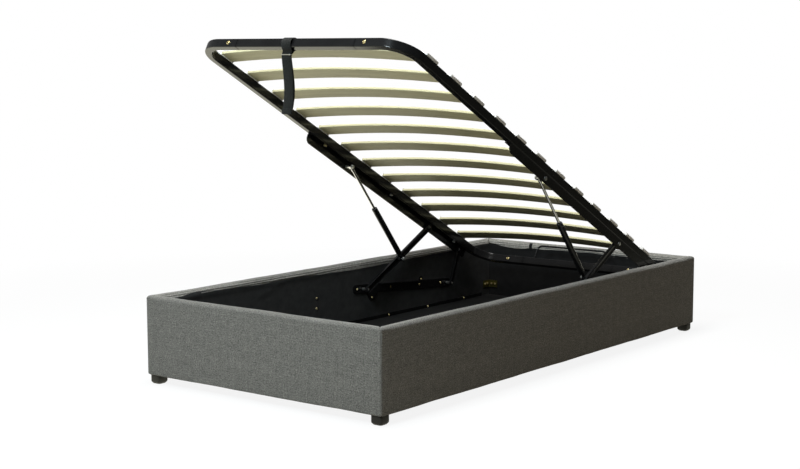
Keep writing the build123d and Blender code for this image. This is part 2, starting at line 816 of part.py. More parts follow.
# Lid brackets: angles whose upright leg carries the pivots
with BuildPart() as lid_bracket:
    with BuildSketch(lid_cross(bracket_start)) as outline:
        with Locations((-lid_side_x, 0)):
            Rectangle(tube_width, bracket_thickness, align=(Align.MIN, Align.MAX))
            Rectangle(bracket_thickness, bracket_drop, align=(Align.MIN, Align.MAX))
        bend = outline.vertices().sort_by_distance((-lid_side_x, 0))
        fillet(bend[0], radius=bracket_bend_radius)
    extrude(amount=bracket_end - bracket_start)
    lower = lid_bracket.edges().filter_by(Axis.X)
    for s, radius in ((bracket_start, bracket_rear_radius), (bracket_end, bracket_front_radius)):
        corner = lid_point(-lid_side_x + bracket_thickness / 2, s, -bracket_drop)
        fillet(lower.sort_by_distance(corner)[0:1], radius=radius)
        lower = lid_bracket.edges().filter_by(Axis.X)
    with BuildSketch(side_plane(-lid_side_x, arm_top)):
        Circle(pivot_radius + pivot_clearance)
    extrude(amount=bracket_thickness, mode=Mode.SUBTRACT)
    with BuildSketch(lid_plan(0)):
        with Locations(*[(-tube_centre_x, -s) for s in bolt_places]):
            Circle(pivot_radius + pivot_clearance)
    extrude(amount=-bracket_thickness, mode=Mode.SUBTRACT)
save_pair(lid_bracket, "lid_bracket")

# Lid fasteners: bracket bolts, tube screws and the outer heads at the rear and strut pivots
with BuildPart() as lid_fasteners:
    for s in bolt_places:
        with BuildSketch(lid_plan(-bracket_thickness, s)):
            with Locations((-tube_centre_x, 0)):
                RegularPolygon(nut_across_flats / 2, 6, major_radius=False)
        extrude(amount=-bolt_head_height)
        with BuildSketch(lid_plan(-bracket_thickness, s)):
            with Locations((-tube_centre_x, 0)):
                Circle(pivot_radius)
        extrude(amount=bracket_thickness + bracket_bolt_grip)
    for s in (lid_length, tube_width):
        with BuildSketch(lid_cross(s)):
            with Locations((-tube_screw_x, tube_middle)):
                Circle(tube_screw_head_radius)
        extrude(amount=tube_screw_head_height, taper=tube_screw_head_taper)
        with BuildSketch(lid_cross(s)):
            with Locations((-tube_screw_x, tube_middle)):
                Circle(tube_screw_radius)
        extrude(amount=-2 * (tube_wall + spigot_wall))
    for pivot in (rear_top, strut_top):
        with BuildSketch(side_plane(-lid_side_x, pivot)):
            RegularPolygon(nut_across_flats / 2, 6, major_radius=False)
        extrude(amount=-bolt_head_height)
    mirror(about=Plane.YZ)
save(lid_fasteners, "lid_fasteners")

# Slats: thin bowed strips, each in two holders on the side tubes
slat_underside = tube_height + holder_floor


def slat_profile(end_x, spread):
    """The bowed outline of a slat seen from the end of the bed, grown by a spread."""
    low = slat_underside - spread
    high = slat_underside + slat_thickness + spread
    with BuildSketch() as face:
        with BuildLine():
            ThreePointArc((-end_x, low), (0, low + slat_crown), (end_x, low))
            Line((end_x, low), (end_x, high))
            ThreePointArc((end_x, high), (0, high + slat_crown), (-end_x, high))
            Line((-end_x, high), (-end_x, low))
        make_face()
    return face.sketch


slat_outline = slat_profile(slat_end_x, 0)
pocket_outline = slat_profile(slat_end_x + holder_clearance, holder_clearance)
slat_steps = [LID_FOOTWARD * (k * slat_pitch) for k in range(slat_count)]

with BuildPart() as first_slat:
    with BuildSketch(lid_cross(slat_head_margin - slat_width / 2)):
        add(slat_outline)
    extrude(amount=slat_width)
for k, step in enumerate(slat_steps, start=1):
    with BuildPart() as slat:
        with Locations(step):
            add(first_slat.part)
    save(slat, f"slat_{k:02d}")

holder_top = tube_height + holder_height
with BuildPart() as first_holders:
    with BuildSketch(lid_cross(slat_head_margin - holder_length / 2)):
        with BuildLine():
            Polyline(
                (holder_inner_x, tube_height),
                (holder_outer_x, tube_height),
                (holder_outer_x, tube_height + holder_end_height),
                (holder_outer_x - holder_slope_run, holder_top),
                (holder_inner_x, holder_top),
                close=True,
            )
        make_face()
        mirror(about=Plane.YZ)
    extrude(amount=holder_length)
    corners = first_holders.edges().filter_by(Axis((0, 0, 0), LID_UP))
    fillet(corners, radius=holder_corner_radius)
    tops = first_holders.faces().sort_by(Axis((0, 0, 0), LID_UP))[-2:]
    chamfer(tops.edges(), length=holder_edge)
    pocket_width = slat_width + 2 * holder_clearance
    with BuildSketch(lid_cross(slat_head_margin - pocket_width / 2)):
        add(pocket_outline)
    extrude(amount=pocket_width, mode=Mode.SUBTRACT)
with BuildPart() as slat_holders:
    with Locations(*slat_steps):
        add(first_holders.part)
save(slat_holders, "slat_holders")

# Mattress retainer: a bent wire whose legs stand in the head tube
retainer_top = tube_height + retainer_rise
with BuildPart() as mattress_retainer:
    with BuildLine(lid_cross(tube_centre_end)):
        FilletPolyline(
            (-retainer_half_width, tube_height - retainer_depth),
            (-retainer_half_width, retainer_top),
            (retainer_half_width, retainer_top),
            (retainer_half_width, tube_height - retainer_depth),
            radius=retainer_bend_radius,
        )
    with BuildSketch(lid_plan(tube_height - retainer_depth, tube_centre_end)):
        with Locations((-retainer_half_width, 0)):
            Circle(retainer_wire_radius)
    sweep()
save(mattress_retainer, "mattress_retainer")

# Pull strap: a doubled webbing looped over the foot tube, its rear ply bulging further out
foot_tube_middle = side_view(lid_point(0, foot_tube_s, tube_middle))
corner_reach = hypot(tube_width / 2 - tube_corner_radius, tube_middle - tube_corner_radius)
loop_radius = corner_reach + tube_corner_radius + strap_loop_clearance
strap_plane = side_plane(strap_x - strap_width / 2, foot_tube_middle)
with BuildPart() as pull_strap:
    with BuildSketch(strap_plane):
        Circle(loop_radius + strap_thickness)
        with BuildLine():
            Polyline(
                (-loop_radius / 2, -loop_radius),
                (-strap_thickness, -keeper_drop),
                (strap_thickness, -keeper_drop),
                (loop_radius / 2, -loop_radius),
                close=True,
            )
        make_face()
        Circle(loop_radius, mode=Mode.SUBTRACT)
    extrude(amount=strap_width)
    for ply, sway in ((-1, strap_front_sway), (1, strap_rear_sway)):
        shift = ply * strap_thickness / 2
        with BuildSketch(strap_plane):
            with BuildLine():
                upper = TangentArc(
                    (shift, -keeper_drop), (shift + sway, -strap_knee_drop), tangent=(0, -1)
                )
                TangentArc(upper @ 1, (shift, -strap_drop), tangent=upper % 1)
            trace(line_width=strap_thickness)
        extrude(amount=strap_width)
    with BuildSketch(strap_plane):
        with Locations((0, -strap_drop)):
            Rectangle(
                2 * (strap_thickness + strap_hem_fold),
                strap_hem_height,
                align=(Align.CENTER, Align.MIN),
            )
    extrude(amount=strap_width)
save(pull_strap, "pull_strap")

# Wire keeper pressed round both plies below the loop, with its rivet
keeper_y, keeper_z = foot_tube_middle
ply_space = 2 * (strap_thickness + keeper_clearance)
with BuildPart() as strap_keeper:
    with BuildSketch(Plane.XY.offset(keeper_z - keeper_drop - keeper_height - strap_thickness)):
        with Locations((strap_x, keeper_y)):
            Rectangle(strap_width + 2 * (keeper_clearance + keeper_wire), ply_space + 2 * keeper_wire)
            Rectangle(strap_width + 2 * keeper_clearance, ply_space, mode=Mode.SUBTRACT)
    extrude(amount=keeper_height)
    rivet_face = Plane(
        origin=(
            strap_x + strap_width / 2 - rivet_inset,
            keeper_y - ply_space / 2 - keeper_wire,
            keeper_z - keeper_drop - strap_thickness - keeper_height / 2,
        ),
        x_dir=(1, 0, 0),
        z_dir=(0, -1, 0),
    )
    with BuildSketch(rivet_face):
        Circle(rivet_radius)
    extrude(amount=rivet_height)
save(strap_keeper, "strap_keeper")
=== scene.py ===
import json
import math

import bpy
import numpy as np
from mathutils import Matrix, Vector


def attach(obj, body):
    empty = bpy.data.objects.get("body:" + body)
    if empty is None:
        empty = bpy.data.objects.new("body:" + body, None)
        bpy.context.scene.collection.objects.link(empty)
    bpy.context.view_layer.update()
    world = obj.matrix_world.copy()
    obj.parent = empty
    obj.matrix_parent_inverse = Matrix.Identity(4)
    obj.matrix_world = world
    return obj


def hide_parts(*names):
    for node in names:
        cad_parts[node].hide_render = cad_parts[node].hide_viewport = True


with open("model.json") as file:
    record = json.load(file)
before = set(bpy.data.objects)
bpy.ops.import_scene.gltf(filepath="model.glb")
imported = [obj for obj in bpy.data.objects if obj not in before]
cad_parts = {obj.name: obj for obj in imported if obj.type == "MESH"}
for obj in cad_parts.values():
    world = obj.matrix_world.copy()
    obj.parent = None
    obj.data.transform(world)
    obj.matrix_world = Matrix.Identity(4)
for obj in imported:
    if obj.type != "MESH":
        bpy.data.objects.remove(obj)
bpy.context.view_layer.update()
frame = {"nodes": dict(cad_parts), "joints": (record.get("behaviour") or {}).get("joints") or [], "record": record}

bl_info = {
    "name": "Ottoman storage bed",
    "version": (1, 0, 0),
    "blender": (4, 5, 0),
    "location": "3D View > Sidebar > Ottoman bed",
    "description": "Dresses a storage bed with a lifting slat frame",
    "category": "Object",
}

JOINTS = {joint["name"]: joint["pos_m"] for joint in frame["joints"]}
SIDES = (("left", -1), ("right", 1))

# Sizes of the storage box, in metres
HALF_WIDTH, HALF_LENGTH = 0.5, 0.9925
BOX_BOTTOM, BOX_TOP = 0.030, 0.296
BOARD_NEAR, BOARD_FAR = 0.009, 0.034
BOARD_BOTTOM, BOARD_TOP = 0.032, 0.288
BOARD_GAP = 0.0002
RETURN_BOTTOM, RETURN_DEPTH = 0.268, 0.036
HEM_ROLL, OUTER_ROLL, INNER_ROLL = 0.005, 0.012, 0.017
LINING_BOTTOM, LINING_BACK, LINING_FACE, LINING_SHEET, LINING_LAP = 0.040, 0.0345, 0.0355, 0.0008, 0.0003
INSIDE_X, INSIDE_Y = HALF_WIDTH - LINING_FACE, HALF_LENGTH - LINING_FACE
FOOT_WIDTH, FOOT_HEIGHT, FOOT_FROM_EDGE = 0.042, 0.030, 0.027
BRACKET_SHEET, FLOOR_ANGLE_SHEET, RAIL_SHEET = 0.0025, 0.002, 0.003

# Sizes of the lid: places run from its head end, and heights from its tubes' underside
LID_SIDE, LID_TILT, LID_LENGTH = 0.446, math.radians(28.4), 1.8933
TUBE_WIDTH, TUBE_HEIGHT, TUBE_JOINT, LID_ANGLE_SHEET = 0.025, 0.0305, 0.159, 0.003
PIVOT_FROM_HEAD, REAR_FROM_HEAD, STRUT_FROM_HEAD, PIVOT_DROP = 0.410, 0.175, 0.991, 0.0175
SLAT_PLACES = np.linspace(0.203, LID_LENGTH - 0.142, 12)
SLAT_WIDTH, SLAT_THICKNESS, SLAT_CROWN, SLAT_END = 0.060, 0.009, 0.020, 0.436
SLAT_OVER_TUBE = 0.003
SLAT_MIDDLE = TUBE_HEIGHT + SLAT_OVER_TUBE + SLAT_THICKNESS / 2
HOLDER_OUTER, HOLDER_RUN, HOLDER_LENGTH = LID_SIDE + 0.002, 0.025, 0.066
HOLDER_HEIGHT, HOLDER_END_HEIGHT, HOLDER_SLOPE = 0.0165, 0.0075, 0.011
STRAP_X, WEBBING_WIDTH, STRAP_LOOP = -0.042, 0.040, 0.0206

# Sizes of the linkage: faces, tips and the strut's axis are measured from the middle plane
RAIL_SLOPE = math.radians(4.2)
ARM_FACE, ARM_DEPTH, ARM_SHEET = 0.4415, 0.0115, 0.0025
ARM_WEB, SEAT_GAP, NUT_HEIGHT, FLATS = ARM_FACE - ARM_SHEET, 0.0003, 0.0065, 0.013
PIN_TIP = ARM_WEB - NUT_HEIGHT - 0.002
STRUT_X, EYE_HALF = 0.418, 0.0055
LID_ANGLE_BOLT = LID_SIDE - LID_ANGLE_SHEET - SEAT_GAP


# Points and directions

def vector(*values):
    return np.array(values, dtype=float)


def at_x(point, x):
    """The same point of the side view at a distance from the middle plane."""
    return vector(x, point[1], point[2])


FRONT_PIVOT, REAR_PIVOT, ARM_TOP, STRUT_BOTTOM, FOOT_TUBE = (
    at_x(JOINTS[name], 0) for name in ("front_arm_left_pivot", "rear_arm_left_pivot", "lid_pivot",
                                       "strut_left_pivot", "strap_swing"))
ACROSS, UP = vector(1, 0, 0), vector(0, 0, 1)
FOOTWARD = vector(0, -math.cos(LID_TILT), math.sin(LID_TILT))
LID_UP = vector(0, math.sin(LID_TILT), math.cos(LID_TILT))
LID_ORIGIN = ARM_TOP - PIVOT_FROM_HEAD * FOOTWARD + PIVOT_DROP * LID_UP


def in_lid(x, s, h):
    """Points of the lid: x across, s from its head end, h above its tubes' underside.
    The point is origin + x across + s footward + h upward, for whole arrays at once."""
    x, s, h = (value[..., None] for value in np.broadcast_arrays(x, s, h))
    return LID_ORIGIN + x * ACROSS + s * FOOTWARD + h * LID_UP


REAR_TOP = in_lid(0, REAR_FROM_HEAD, -PIVOT_DROP)
STRUT_TOP = in_lid(0, STRUT_FROM_HEAD, -PIVOT_DROP)
STRUT_LENGTH = np.linalg.norm(STRUT_TOP - STRUT_BOTTOM)


def framed(origin, along, outward):
    """A function that places local points: x goes along, z outward, and y is square to both.
    The point is origin + x along + y (outward cross along) + z outward."""
    along = along / np.linalg.norm(along)
    outward = outward / np.linalg.norm(outward)
    upright = np.cross(outward, along)

    def place(x, y, z):
        x, y, z = (value[..., None] for value in np.broadcast_arrays(x, y, z))
        return origin + x * along + y * upright + z * outward

    return place


def waves(seed, count, shortest, longest):
    """A smooth uneven function of a length: a sum of sines with seeded phases.
    Each of the sines has a wavelength between the two given, and the sum stays within one."""
    random = np.random.default_rng(seed)
    lengths = np.geomspace(shortest, longest, count)
    phases = random.uniform(0, 2 * np.pi, count)
    weights = lengths / lengths.sum()
    return lambda t: (weights * np.sin(2 * np.pi * t[..., None] / lengths + phases)).sum(-1)


def ramp(value, start, run):
    """Rises from 0 at the start to 1 after the run, and falls where the run is negative."""
    return np.clip((value - start) / run, 0, 1)


def smooth(share):
    """Eases a share of 0 to 1 in and out, by 3 squares less 2 cubes."""
    return share * share * (3 - 2 * share)


# Loops: closed outlines in two dimensions

def round_angles(steps):
    return np.arange(steps) * 2 * np.pi / steps


def circle_loop(radius, steps=40):
    """Points round a circle, at even steps of its angle."""
    turn = round_angles(steps)
    return radius * np.cos(turn), radius * np.sin(turn)


def rounded_loop(width, height, radius, steps=5):
    """Rectangle with round corners: each corner is a quarter circle about its own centre."""
    turn = np.add.outer(np.arange(4) * np.pi / 2, np.linspace(0, np.pi / 2, steps + 1))
    centre_x = (width / 2 - radius) * vector(1, -1, -1, 1)[:, None]
    centre_y = (height / 2 - radius) * vector(1, 1, -1, -1)[:, None]
    x = centre_x + radius * np.cos(turn)
    y = centre_y + radius * np.sin(turn)
    return x.ravel(), y.ravel()


def stadium_loop(length, radius, steps=14):
    """Two half circles whose centres lie a length apart, the first at zero."""
    half = np.linspace(-np.pi / 2, np.pi / 2, steps + 1)
    x = np.concatenate([length + radius * np.cos(half), -radius * np.cos(half)])
    y = np.concatenate([radius * np.sin(half), -radius * np.sin(half)])
    return x, y


def hexagon_loop(flats, limit, steps=48):
    """Hexagon cut by a circle: the smaller of the hexagon's radius and the limit at each angle."""
    turn = round_angles(steps)
    corner = np.mod(turn + np.pi / 6, np.pi / 3) - np.pi / 6
    radius = np.minimum(flats / 2 / np.cos(corner), limit)
    return radius * np.cos(turn), radius * np.sin(turn)


# Meshes

def shell(rows, ring=False):
    """Quads between rows of points, which follow the piece while columns go round it, with
    lengths as UVs. A flat face closes each end, or a ring joins its last row to its first."""
    rows = np.asarray(rows, dtype=float)
    count, around = rows.shape[:2]
    looped = np.concatenate([rows, rows[:, :1]], 1)
    if ring:
        looped = np.concatenate([looped, looped[:1]], 0)
    column_step = np.linalg.norm(np.diff(looped, axis=1), axis=2)
    row_step = np.linalg.norm(np.diff(looped, axis=0), axis=2).mean(1)
    across = np.concatenate([np.zeros((len(looped), 1)), np.cumsum(column_step, 1)], 1)
    along = np.concatenate([[0.0], np.cumsum(row_step)])
    uv = np.stack([np.broadcast_to(along[:, None], across.shape), across], -1)
    i, j = (grid.ravel() for grid in np.indices((len(looped) - 1, around)))
    corners = ((i, j), (i, j + 1), (i + 1, j + 1), (i + 1, j))
    quads = np.stack([(a % count) * around + b % around for a, b in corners], -1)
    quad_uv = np.stack([uv[a, b] for a, b in corners], 1)
    ends = [] if ring else [np.arange(around)[::-1], (count - 1) * around + np.arange(around)]
    return {"points": rows.reshape(-1, 3), "quads": quads, "uv": quad_uv, "ends": ends}


def faces_outward(part):
    """Turns a closed shell's faces outwards: the sum of their cone volumes has to be positive."""
    points, quads = part["points"], part["quads"]
    middle = points.mean(0)
    a, b, c, d = (points[quads[:, k]] - middle for k in range(4))
    volume = np.einsum("ij,ij->i", a, np.cross(b, c) + np.cross(c, d)).sum()
    for end in part["ends"]:
        fan = points[end] - middle
        volume += np.einsum("j,ij->i", fan[0], np.cross(fan[1:-1], fan[2:])).sum()
    if volume < 0:
        part["quads"] = quads[:, ::-1]
        part["uv"] = part["uv"][:, ::-1]
        part["ends"] = [end[::-1] for end in part["ends"]]
    return part


def make_piece(name, parts, body, slot, nodes, sharp=35):
    """Joins shells into one object at the origin, gives it the finish of its name or slot, puts it
    under its body and hides the solids that it replaces.
    Each shell's UVs are moved aside by a step, so that no two show the same threads or grain."""
    points, faces, uvs, start = [], [], [], 0
    for number, part in enumerate(map(faces_outward, parts)):
        points.append(part["points"])
        faces += (part["quads"] + start).tolist()
        uvs.append(part["uv"].reshape(-1, 2) + (number * 0.731, 0))
        for end in part["ends"]:
            faces.append((end + start).tolist())
            flat = part["points"][end] - part["points"][end][0]
            uvs.append(np.stack([flat @ vector(0.8, 0.6, 0), flat @ vector(0, 0.6, 0.8)], -1))
        start += len(part["points"])
    mesh = bpy.data.meshes.new(name)
    mesh.from_pydata(np.concatenate(points), [], faces)
    layer = mesh.uv_layers.new(name="surface")
    layer.uv.foreach_set("vector", np.concatenate(uvs).astype(np.float32).ravel())
    if "section" in parts[0]:
        section = np.concatenate([part["section"] for part in parts])
        place = mesh.attributes.new("section", "FLOAT_VECTOR", "POINT")
        place.data.foreach_set("vector", section.astype(np.float32).ravel())
    mesh.materials.append(finish_of(name, slot))
    mesh.validate()
    mesh.shade_smooth()
    mesh.set_sharp_from_angle(angle=math.radians(sharp))
    piece = bpy.data.objects.new(name, mesh)
    bpy.context.scene.collection.objects.link(piece)
    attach(piece, body)
    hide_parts(*nodes)
    return piece


def stacked(place, profile, outline, ring=False):
    """A solid whose rows are the outline at each size of the profile, placed at its height."""
    return shell([place(*outline(size), height) for size, height in profile], ring)


def turned(place, profile, steps=40):
    """A solid of revolution: circles of the profile's radii at its heights, with flat ends."""
    return stacked(place, profile, lambda radius: circle_loop(radius, steps))


# Shader nodes

def add_node(tree, kind, settings=(), **sockets):
    """Adds a node and sets its properties and sockets; a socket given another one is linked.
    A socket goes by its name, or by its number, where _0 is the first."""
    node = tree.nodes.new(kind)
    for key, value in dict(settings).items():
        setattr(node, key, value)
    for key, value in sockets.items():
        socket = node.inputs[int(key[1:])] if key[0] == "_" else node.inputs[key.replace("_", " ")]
        if isinstance(value, bpy.types.NodeSocket):
            tree.links.new(value, socket)
        else:
            socket.default_value = value
    return node


def calculate(tree, operation, *values):
    sockets = {f"_{number}": value for number, value in enumerate(values)}
    return add_node(tree, "ShaderNodeMath", {"operation": operation}, **sockets).outputs[0]


def weighted(tree, *shares):
    """A sum of factors, each times its share."""
    total = 0.0
    for factor, share in shares:
        total = calculate(tree, "MULTIPLY_ADD", factor, share, total)
    return total


def remap(tree, value, start, end, low=0.0, high=1.0):
    """Goes from low to high while the value goes from start to end."""
    node = add_node(tree, "ShaderNodeMapRange", Value=value, From_Min=start, From_Max=end,
                    To_Min=low, To_Max=high)
    return node.outputs["Result"]


def colour_ramp(tree, factor, *stops):
    """Blends colours by a factor; each stop is a position and a colour."""
    node = add_node(tree, "ShaderNodeValToRGB", Fac=factor)
    points = node.color_ramp.elements
    while len(points) < len(stops):
        points.new(0.5)
    for point, (position, colour) in zip(points, stops):
        point.position = position
        point.color = (*colour, 1.0)
    return node.outputs["Color"]


def blend_colours(tree, factor, first, second):
    """The colour socket of a mix is its third output, and 6 and 7 are its colour inputs."""
    node = add_node(tree, "ShaderNodeMix", {"data_type": "RGBA"}, _0=factor, _6=first, _7=second)
    return node.outputs[2]


def blend_shaders(tree, factor, first, second):
    return add_node(tree, "ShaderNodeMixShader", _0=factor, _1=first, _2=second).outputs[0]


def split_axes(tree, place):
    return add_node(tree, "ShaderNodeSeparateXYZ", Vector=place).outputs


def noise(tree, place, scale, detail=3.0, roughness=0.6, stretch=None):
    if stretch:
        place = add_node(tree, "ShaderNodeMapping", Vector=place, Scale=stretch).outputs["Vector"]
    node = add_node(tree, "ShaderNodeTexNoise", Vector=place, Scale=scale, Detail=detail,
                    Roughness=roughness)
    return node.outputs["Fac"]


def shade(colour, factor):
    return tuple(min(1.0, channel * factor) for channel in colour)


def cleared_tree(owner):
    owner.use_nodes = True
    owner.node_tree.nodes.clear()
    return owner.node_tree


def start_material(name, space):
    """A new material, its empty tree and one of the piece's coordinates."""
    material = bpy.data.materials.new(name)
    tree = cleared_tree(material)
    return material, tree, add_node(tree, "ShaderNodeTexCoord").outputs[space]


def finish_material(material, tint, relief, distance, strength, **surface):
    """Gives a material its colour, its relief and the other values of its surface."""
    tree = material.node_tree
    bump = add_node(tree, "ShaderNodeBump", Height=relief, Distance=distance, Strength=strength)
    shader = add_node(tree, "ShaderNodeBsdfPrincipled", Base_Color=tint, Normal=bump.outputs["Normal"],
                      **surface)
    add_node(tree, "ShaderNodeOutputMaterial", Surface=shader.outputs["BSDF"])
    return material


# Finishes

def woven_fabric(name, colour, pitch, contrast=1.0, depth=0.0004, sheen=0.22, painted_return_light=1.0):
    """Plain weave of heathered yarns: warp and weft cross by turns, each thread a half sine high,
    with a tone of its own, slubs along it, a fine speckle and soft blotches over the cloth.
    The cloth is painted lighter by a factor from a length round the cover's section onwards, over
    the inner return: painted light that stands for the light falling there."""
    inner_edge, painted_light_run = 0.304, 0.018
    material, tree, surface = start_material(name, "UV")
    axes = split_axes(tree, surface)
    threads, rises, tones = [], [], []
    for axis in "XY":
        length = calculate(tree, "DIVIDE", axes[axis], pitch)
        thread = calculate(tree, "FLOOR", length)
        wave = calculate(tree, "SINE", calculate(tree, "MULTIPLY", length, math.pi))
        tone = add_node(tree, "ShaderNodeTexWhiteNoise", {"noise_dimensions": "1D"}, W=thread)
        threads.append(thread)
        rises.append(calculate(tree, "ABSOLUTE", wave))
        tones.append(tone.outputs["Value"])
    over = calculate(tree, "PINGPONG", calculate(tree, "ADD", *threads), 1.0)
    rise = add_node(tree, "ShaderNodeMix", Factor=over, A=rises[0], B=rises[1]).outputs["Result"]
    slubs = calculate(tree, "ADD", noise(tree, surface, 1.0, 4.0, 0.6, (60.0, 420.0, 1.0)),
                      noise(tree, surface, 1.0, 4.0, 0.6, (420.0, 60.0, 1.0)))
    speckle = noise(tree, surface, 230.0, 4.0, 0.75)
    blotches = noise(tree, surface, 38.0)
    mottled = weighted(tree, (slubs, 0.18), (speckle, 0.72), (tones[0], 0.03), (tones[1], 0.03),
                       (blotches, 0.12))
    tint = colour_ramp(tree, mottled, (0.50, shade(colour, 1 - 0.60 * contrast)), (0.63, colour),
                       (0.76, shade(colour, 1 + 0.95 * contrast)))
    # Painted light: the inner return is lighter by this factor, for the light that falls on it.
    lighter = remap(tree, axes["Y"], inner_edge, inner_edge + painted_light_run, 1.0, painted_return_light)
    tint = add_node(tree, "ShaderNodeVectorMath", {"operation": "SCALE"}, _0=tint, Scale=lighter)
    return finish_material(
        material, tint.outputs["Vector"], weighted(tree, (rise, 1.0), (slubs, 0.5)), depth, 0.7,
        Roughness=0.92, Sheen_Weight=sheen, Sheen_Roughness=0.5, Specular_IOR_Level=0.2)


def powder_coat(name, colour, roughness):
    """Black powder coat: fine orange peel, a clear skin, and faint dust in broad patches."""
    material, tree, place = start_material(name, "Object")
    patches = noise(tree, place, 14.0, 4.0)
    tint = colour_ramp(tree, patches, (0.35, shade(colour, 0.8)), (0.7, shade(colour, 1.35)))
    rough = remap(tree, patches, 0.0, 1.0, roughness * 0.85, roughness * 1.25)
    peel = noise(tree, place, 900.0, 2.0, 0.5)
    return finish_material(material, tint, peel, 0.00006, 0.5, Roughness=rough, Coat_Weight=0.42,
                           Coat_Roughness=0.15, Specular_IOR_Level=0.15)


def plated_metal(name, colour, roughness):
    """Plated or polished metal: metallic, with a fine grain, cloudy colour and cloudy roughness."""
    material, tree, place = start_material(name, "Object")
    cloud = noise(tree, place, 160.0, 4.0)
    tint = colour_ramp(tree, cloud, (0.3, shade(colour, 0.82)), (0.7, colour))
    rough = remap(tree, cloud, 0.0, 1.0, roughness * 0.8, roughness * 1.4)
    return finish_material(material, tint, noise(tree, place, 700.0), 0.00003, 0.5, Metallic=1.0,
                           Roughness=rough)


def sawn_wood(name, colour, dark, grain=(2.0, 60.0, 60.0), roughness=0.5):
    """Sawn wood or pressed board: a broad figure and fibres, both noises stretched by the grain."""
    material, tree, place = start_material(name, "Object")
    figure = noise(tree, place, 3.0, 6.0, 0.55, grain)
    fibre = noise(tree, place, 22.0, 3.0, 0.6, grain)
    tint = colour_ramp(tree, weighted(tree, (figure, 0.62), (fibre, 0.38)), (0.34, dark), (0.50, colour),
                       (0.70, shade(colour, 1.10)))
    return finish_material(material, tint, fibre, 0.00012, 0.6, Roughness=roughness,
                           Specular_IOR_Level=0.35)


def birch_veneer(name, colour):
    """Glued veneers: long fibres on the faces, and thin glue lines stacked up along the edges, which are
    also painted darker overall than the faces: painted shade against the strong light on them.
    It reads each slat's own lengths along, across and up from its section attribute."""
    veneer, edge_start, edge_end = 0.0015, SLAT_WIDTH / 2 - 0.0014, SLAT_WIDTH / 2 - 0.0006
    material, tree, _ = start_material(name, "Object")
    section = add_node(tree, "ShaderNodeAttribute", {"attribute_name": "section"}).outputs["Vector"]
    axes = split_axes(tree, section)
    figure = noise(tree, section, 3.0, 5.0, 0.55, (1.6, 26.0, 26.0))
    fibre = noise(tree, section, 20.0, 3.0, 0.6, (2.0, 60.0, 60.0))
    face = colour_ramp(tree, weighted(tree, (figure, 0.6), (fibre, 0.4)), (0.34, shade(colour, 0.84)),
                       (0.52, colour), (0.70, shade(colour, 1.08)))
    on_edge = remap(tree, calculate(tree, "ABSOLUTE", axes["Y"]), edge_start, edge_end)
    layer = calculate(tree, "SINE", calculate(tree, "MULTIPLY", axes["Z"], 2 * math.pi / veneer))
    # Painted shade with real glue lines: the edge colour runs darker than the face, toning down the light on the
    # edges.
    edge = colour_ramp(tree, weighted(tree, (layer, 1.0), (fibre, 1.2)), (0.0, shade(colour, 0.98)),
                       (0.75, shade(colour, 0.88)), (1.0, shade(colour, 0.71)))
    return finish_material(material, blend_colours(tree, on_edge, face, edge), fibre, 0.00010, 0.5,
                           Roughness=0.42, Specular_IOR_Level=0.35)


def bonded_cloth(name, colour):
    """Non-woven lining: a fibre mat with rows of small heat-pressed dimples."""
    material, tree, surface = start_material(name, "UV")
    fibres, clouds = noise(tree, surface, 900.0, 4.0, 0.7), noise(tree, surface, 30.0, 4.0)
    dimples = add_node(tree, "ShaderNodeTexVoronoi", {"feature": "F1"}, Vector=surface, Scale=420.0,
                       Randomness=0.15)
    pressed = remap(tree, dimples.outputs["Distance"], 0.0, 0.35)
    tint = colour_ramp(tree, weighted(tree, (fibres, 0.5), (clouds, 0.5)), (0.35, shade(colour, 0.8)),
                       (0.65, shade(colour, 1.25)))
    return finish_material(material, tint, pressed, 0.00015, 0.6, Roughness=0.9,
                           Specular_IOR_Level=0.03)


def moulded_plastic(name, colour, roughness, specular):
    """Moulded plastic: a fine spark-eroded grain, with slightly cloudy colour."""
    material, tree, place = start_material(name, "Object")
    cloud = noise(tree, place, 40.0, 3.0, 0.5)
    tint = colour_ramp(tree, cloud, (0.3, shade(colour, 0.88)), (0.7, shade(colour, 1.08)))
    return finish_material(material, tint, noise(tree, place, 1600.0, 2.0, 0.5), 0.00005, 0.6,
                           Roughness=roughness, Specular_IOR_Level=specular)


FINISHES = {}


def finish_of(name, slot):
    """The finish of a piece or a solid: the one made for its own name, or else its slot's."""
    return FINISHES.get(name, FINISHES[slot])


# Padded covers: each panel has its way inwards, half the bed's size that way, and half its length

PANELS = {
    "foot": (vector(0, 1, 0), HALF_LENGTH, HALF_WIDTH),
    "head": (vector(0, -1, 0), HALF_LENGTH, HALF_WIDTH),
    "side_left": (vector(1, 0, 0), HALF_WIDTH, HALF_LENGTH),
    "side_right": (vector(-1, 0, 0), HALF_WIDTH, HALF_LENGTH),
}
GATHERS = {"head": 1.0, "side_left": 0.2, "side_right": 0.3, "foot": 0.3}
CREASE_DEPTHS = (0.0045, 0.0115, 0.0185)
DEEPEST_FOLD, HIGHEST_FOLD, GATHER_SPACING = -0.0036, 0.0018, 0.085
FACE_WAVE, TOP_WAVE, HEM_WAVE, CORNER_RISE, SEAM_WIDTH = 0.0009, 0.0011, 0.0010, 0.0055, 0.0028


def sideways(name):
    """The way along a panel, square to its way inwards."""
    return np.cross(PANELS[name][0], UP)


def runs_with_axis(name):
    """1 where the way along a panel is the bed's own axis, and -1 where it is opposite."""
    return sideways(name).sum()


def on_panel(name, depth, along, height):
    """Points of a panel: depth inwards from its outer face, along from its middle, and height."""
    inward, half_span, _ = PANELS[name]
    depth, along, height = (value[..., None] for value in np.broadcast_arrays(depth, along, height))
    return -inward * half_span + depth * inward + along * sideways(name) + height * UP


def panel_shares(reach, fine=0.012, step=0.012):
    """Shares from -1 to 1 along a panel, crowded near its mitred ends."""
    ends = np.geomspace(0.0006, fine, 9) / reach
    middle = np.linspace(-1 + 2 * fine / reach, 1 - 2 * fine / reach, int(2 * reach / step))
    return np.concatenate([[-1.0], -1 + ends, middle, 1 - ends[::-1], [1.0]])


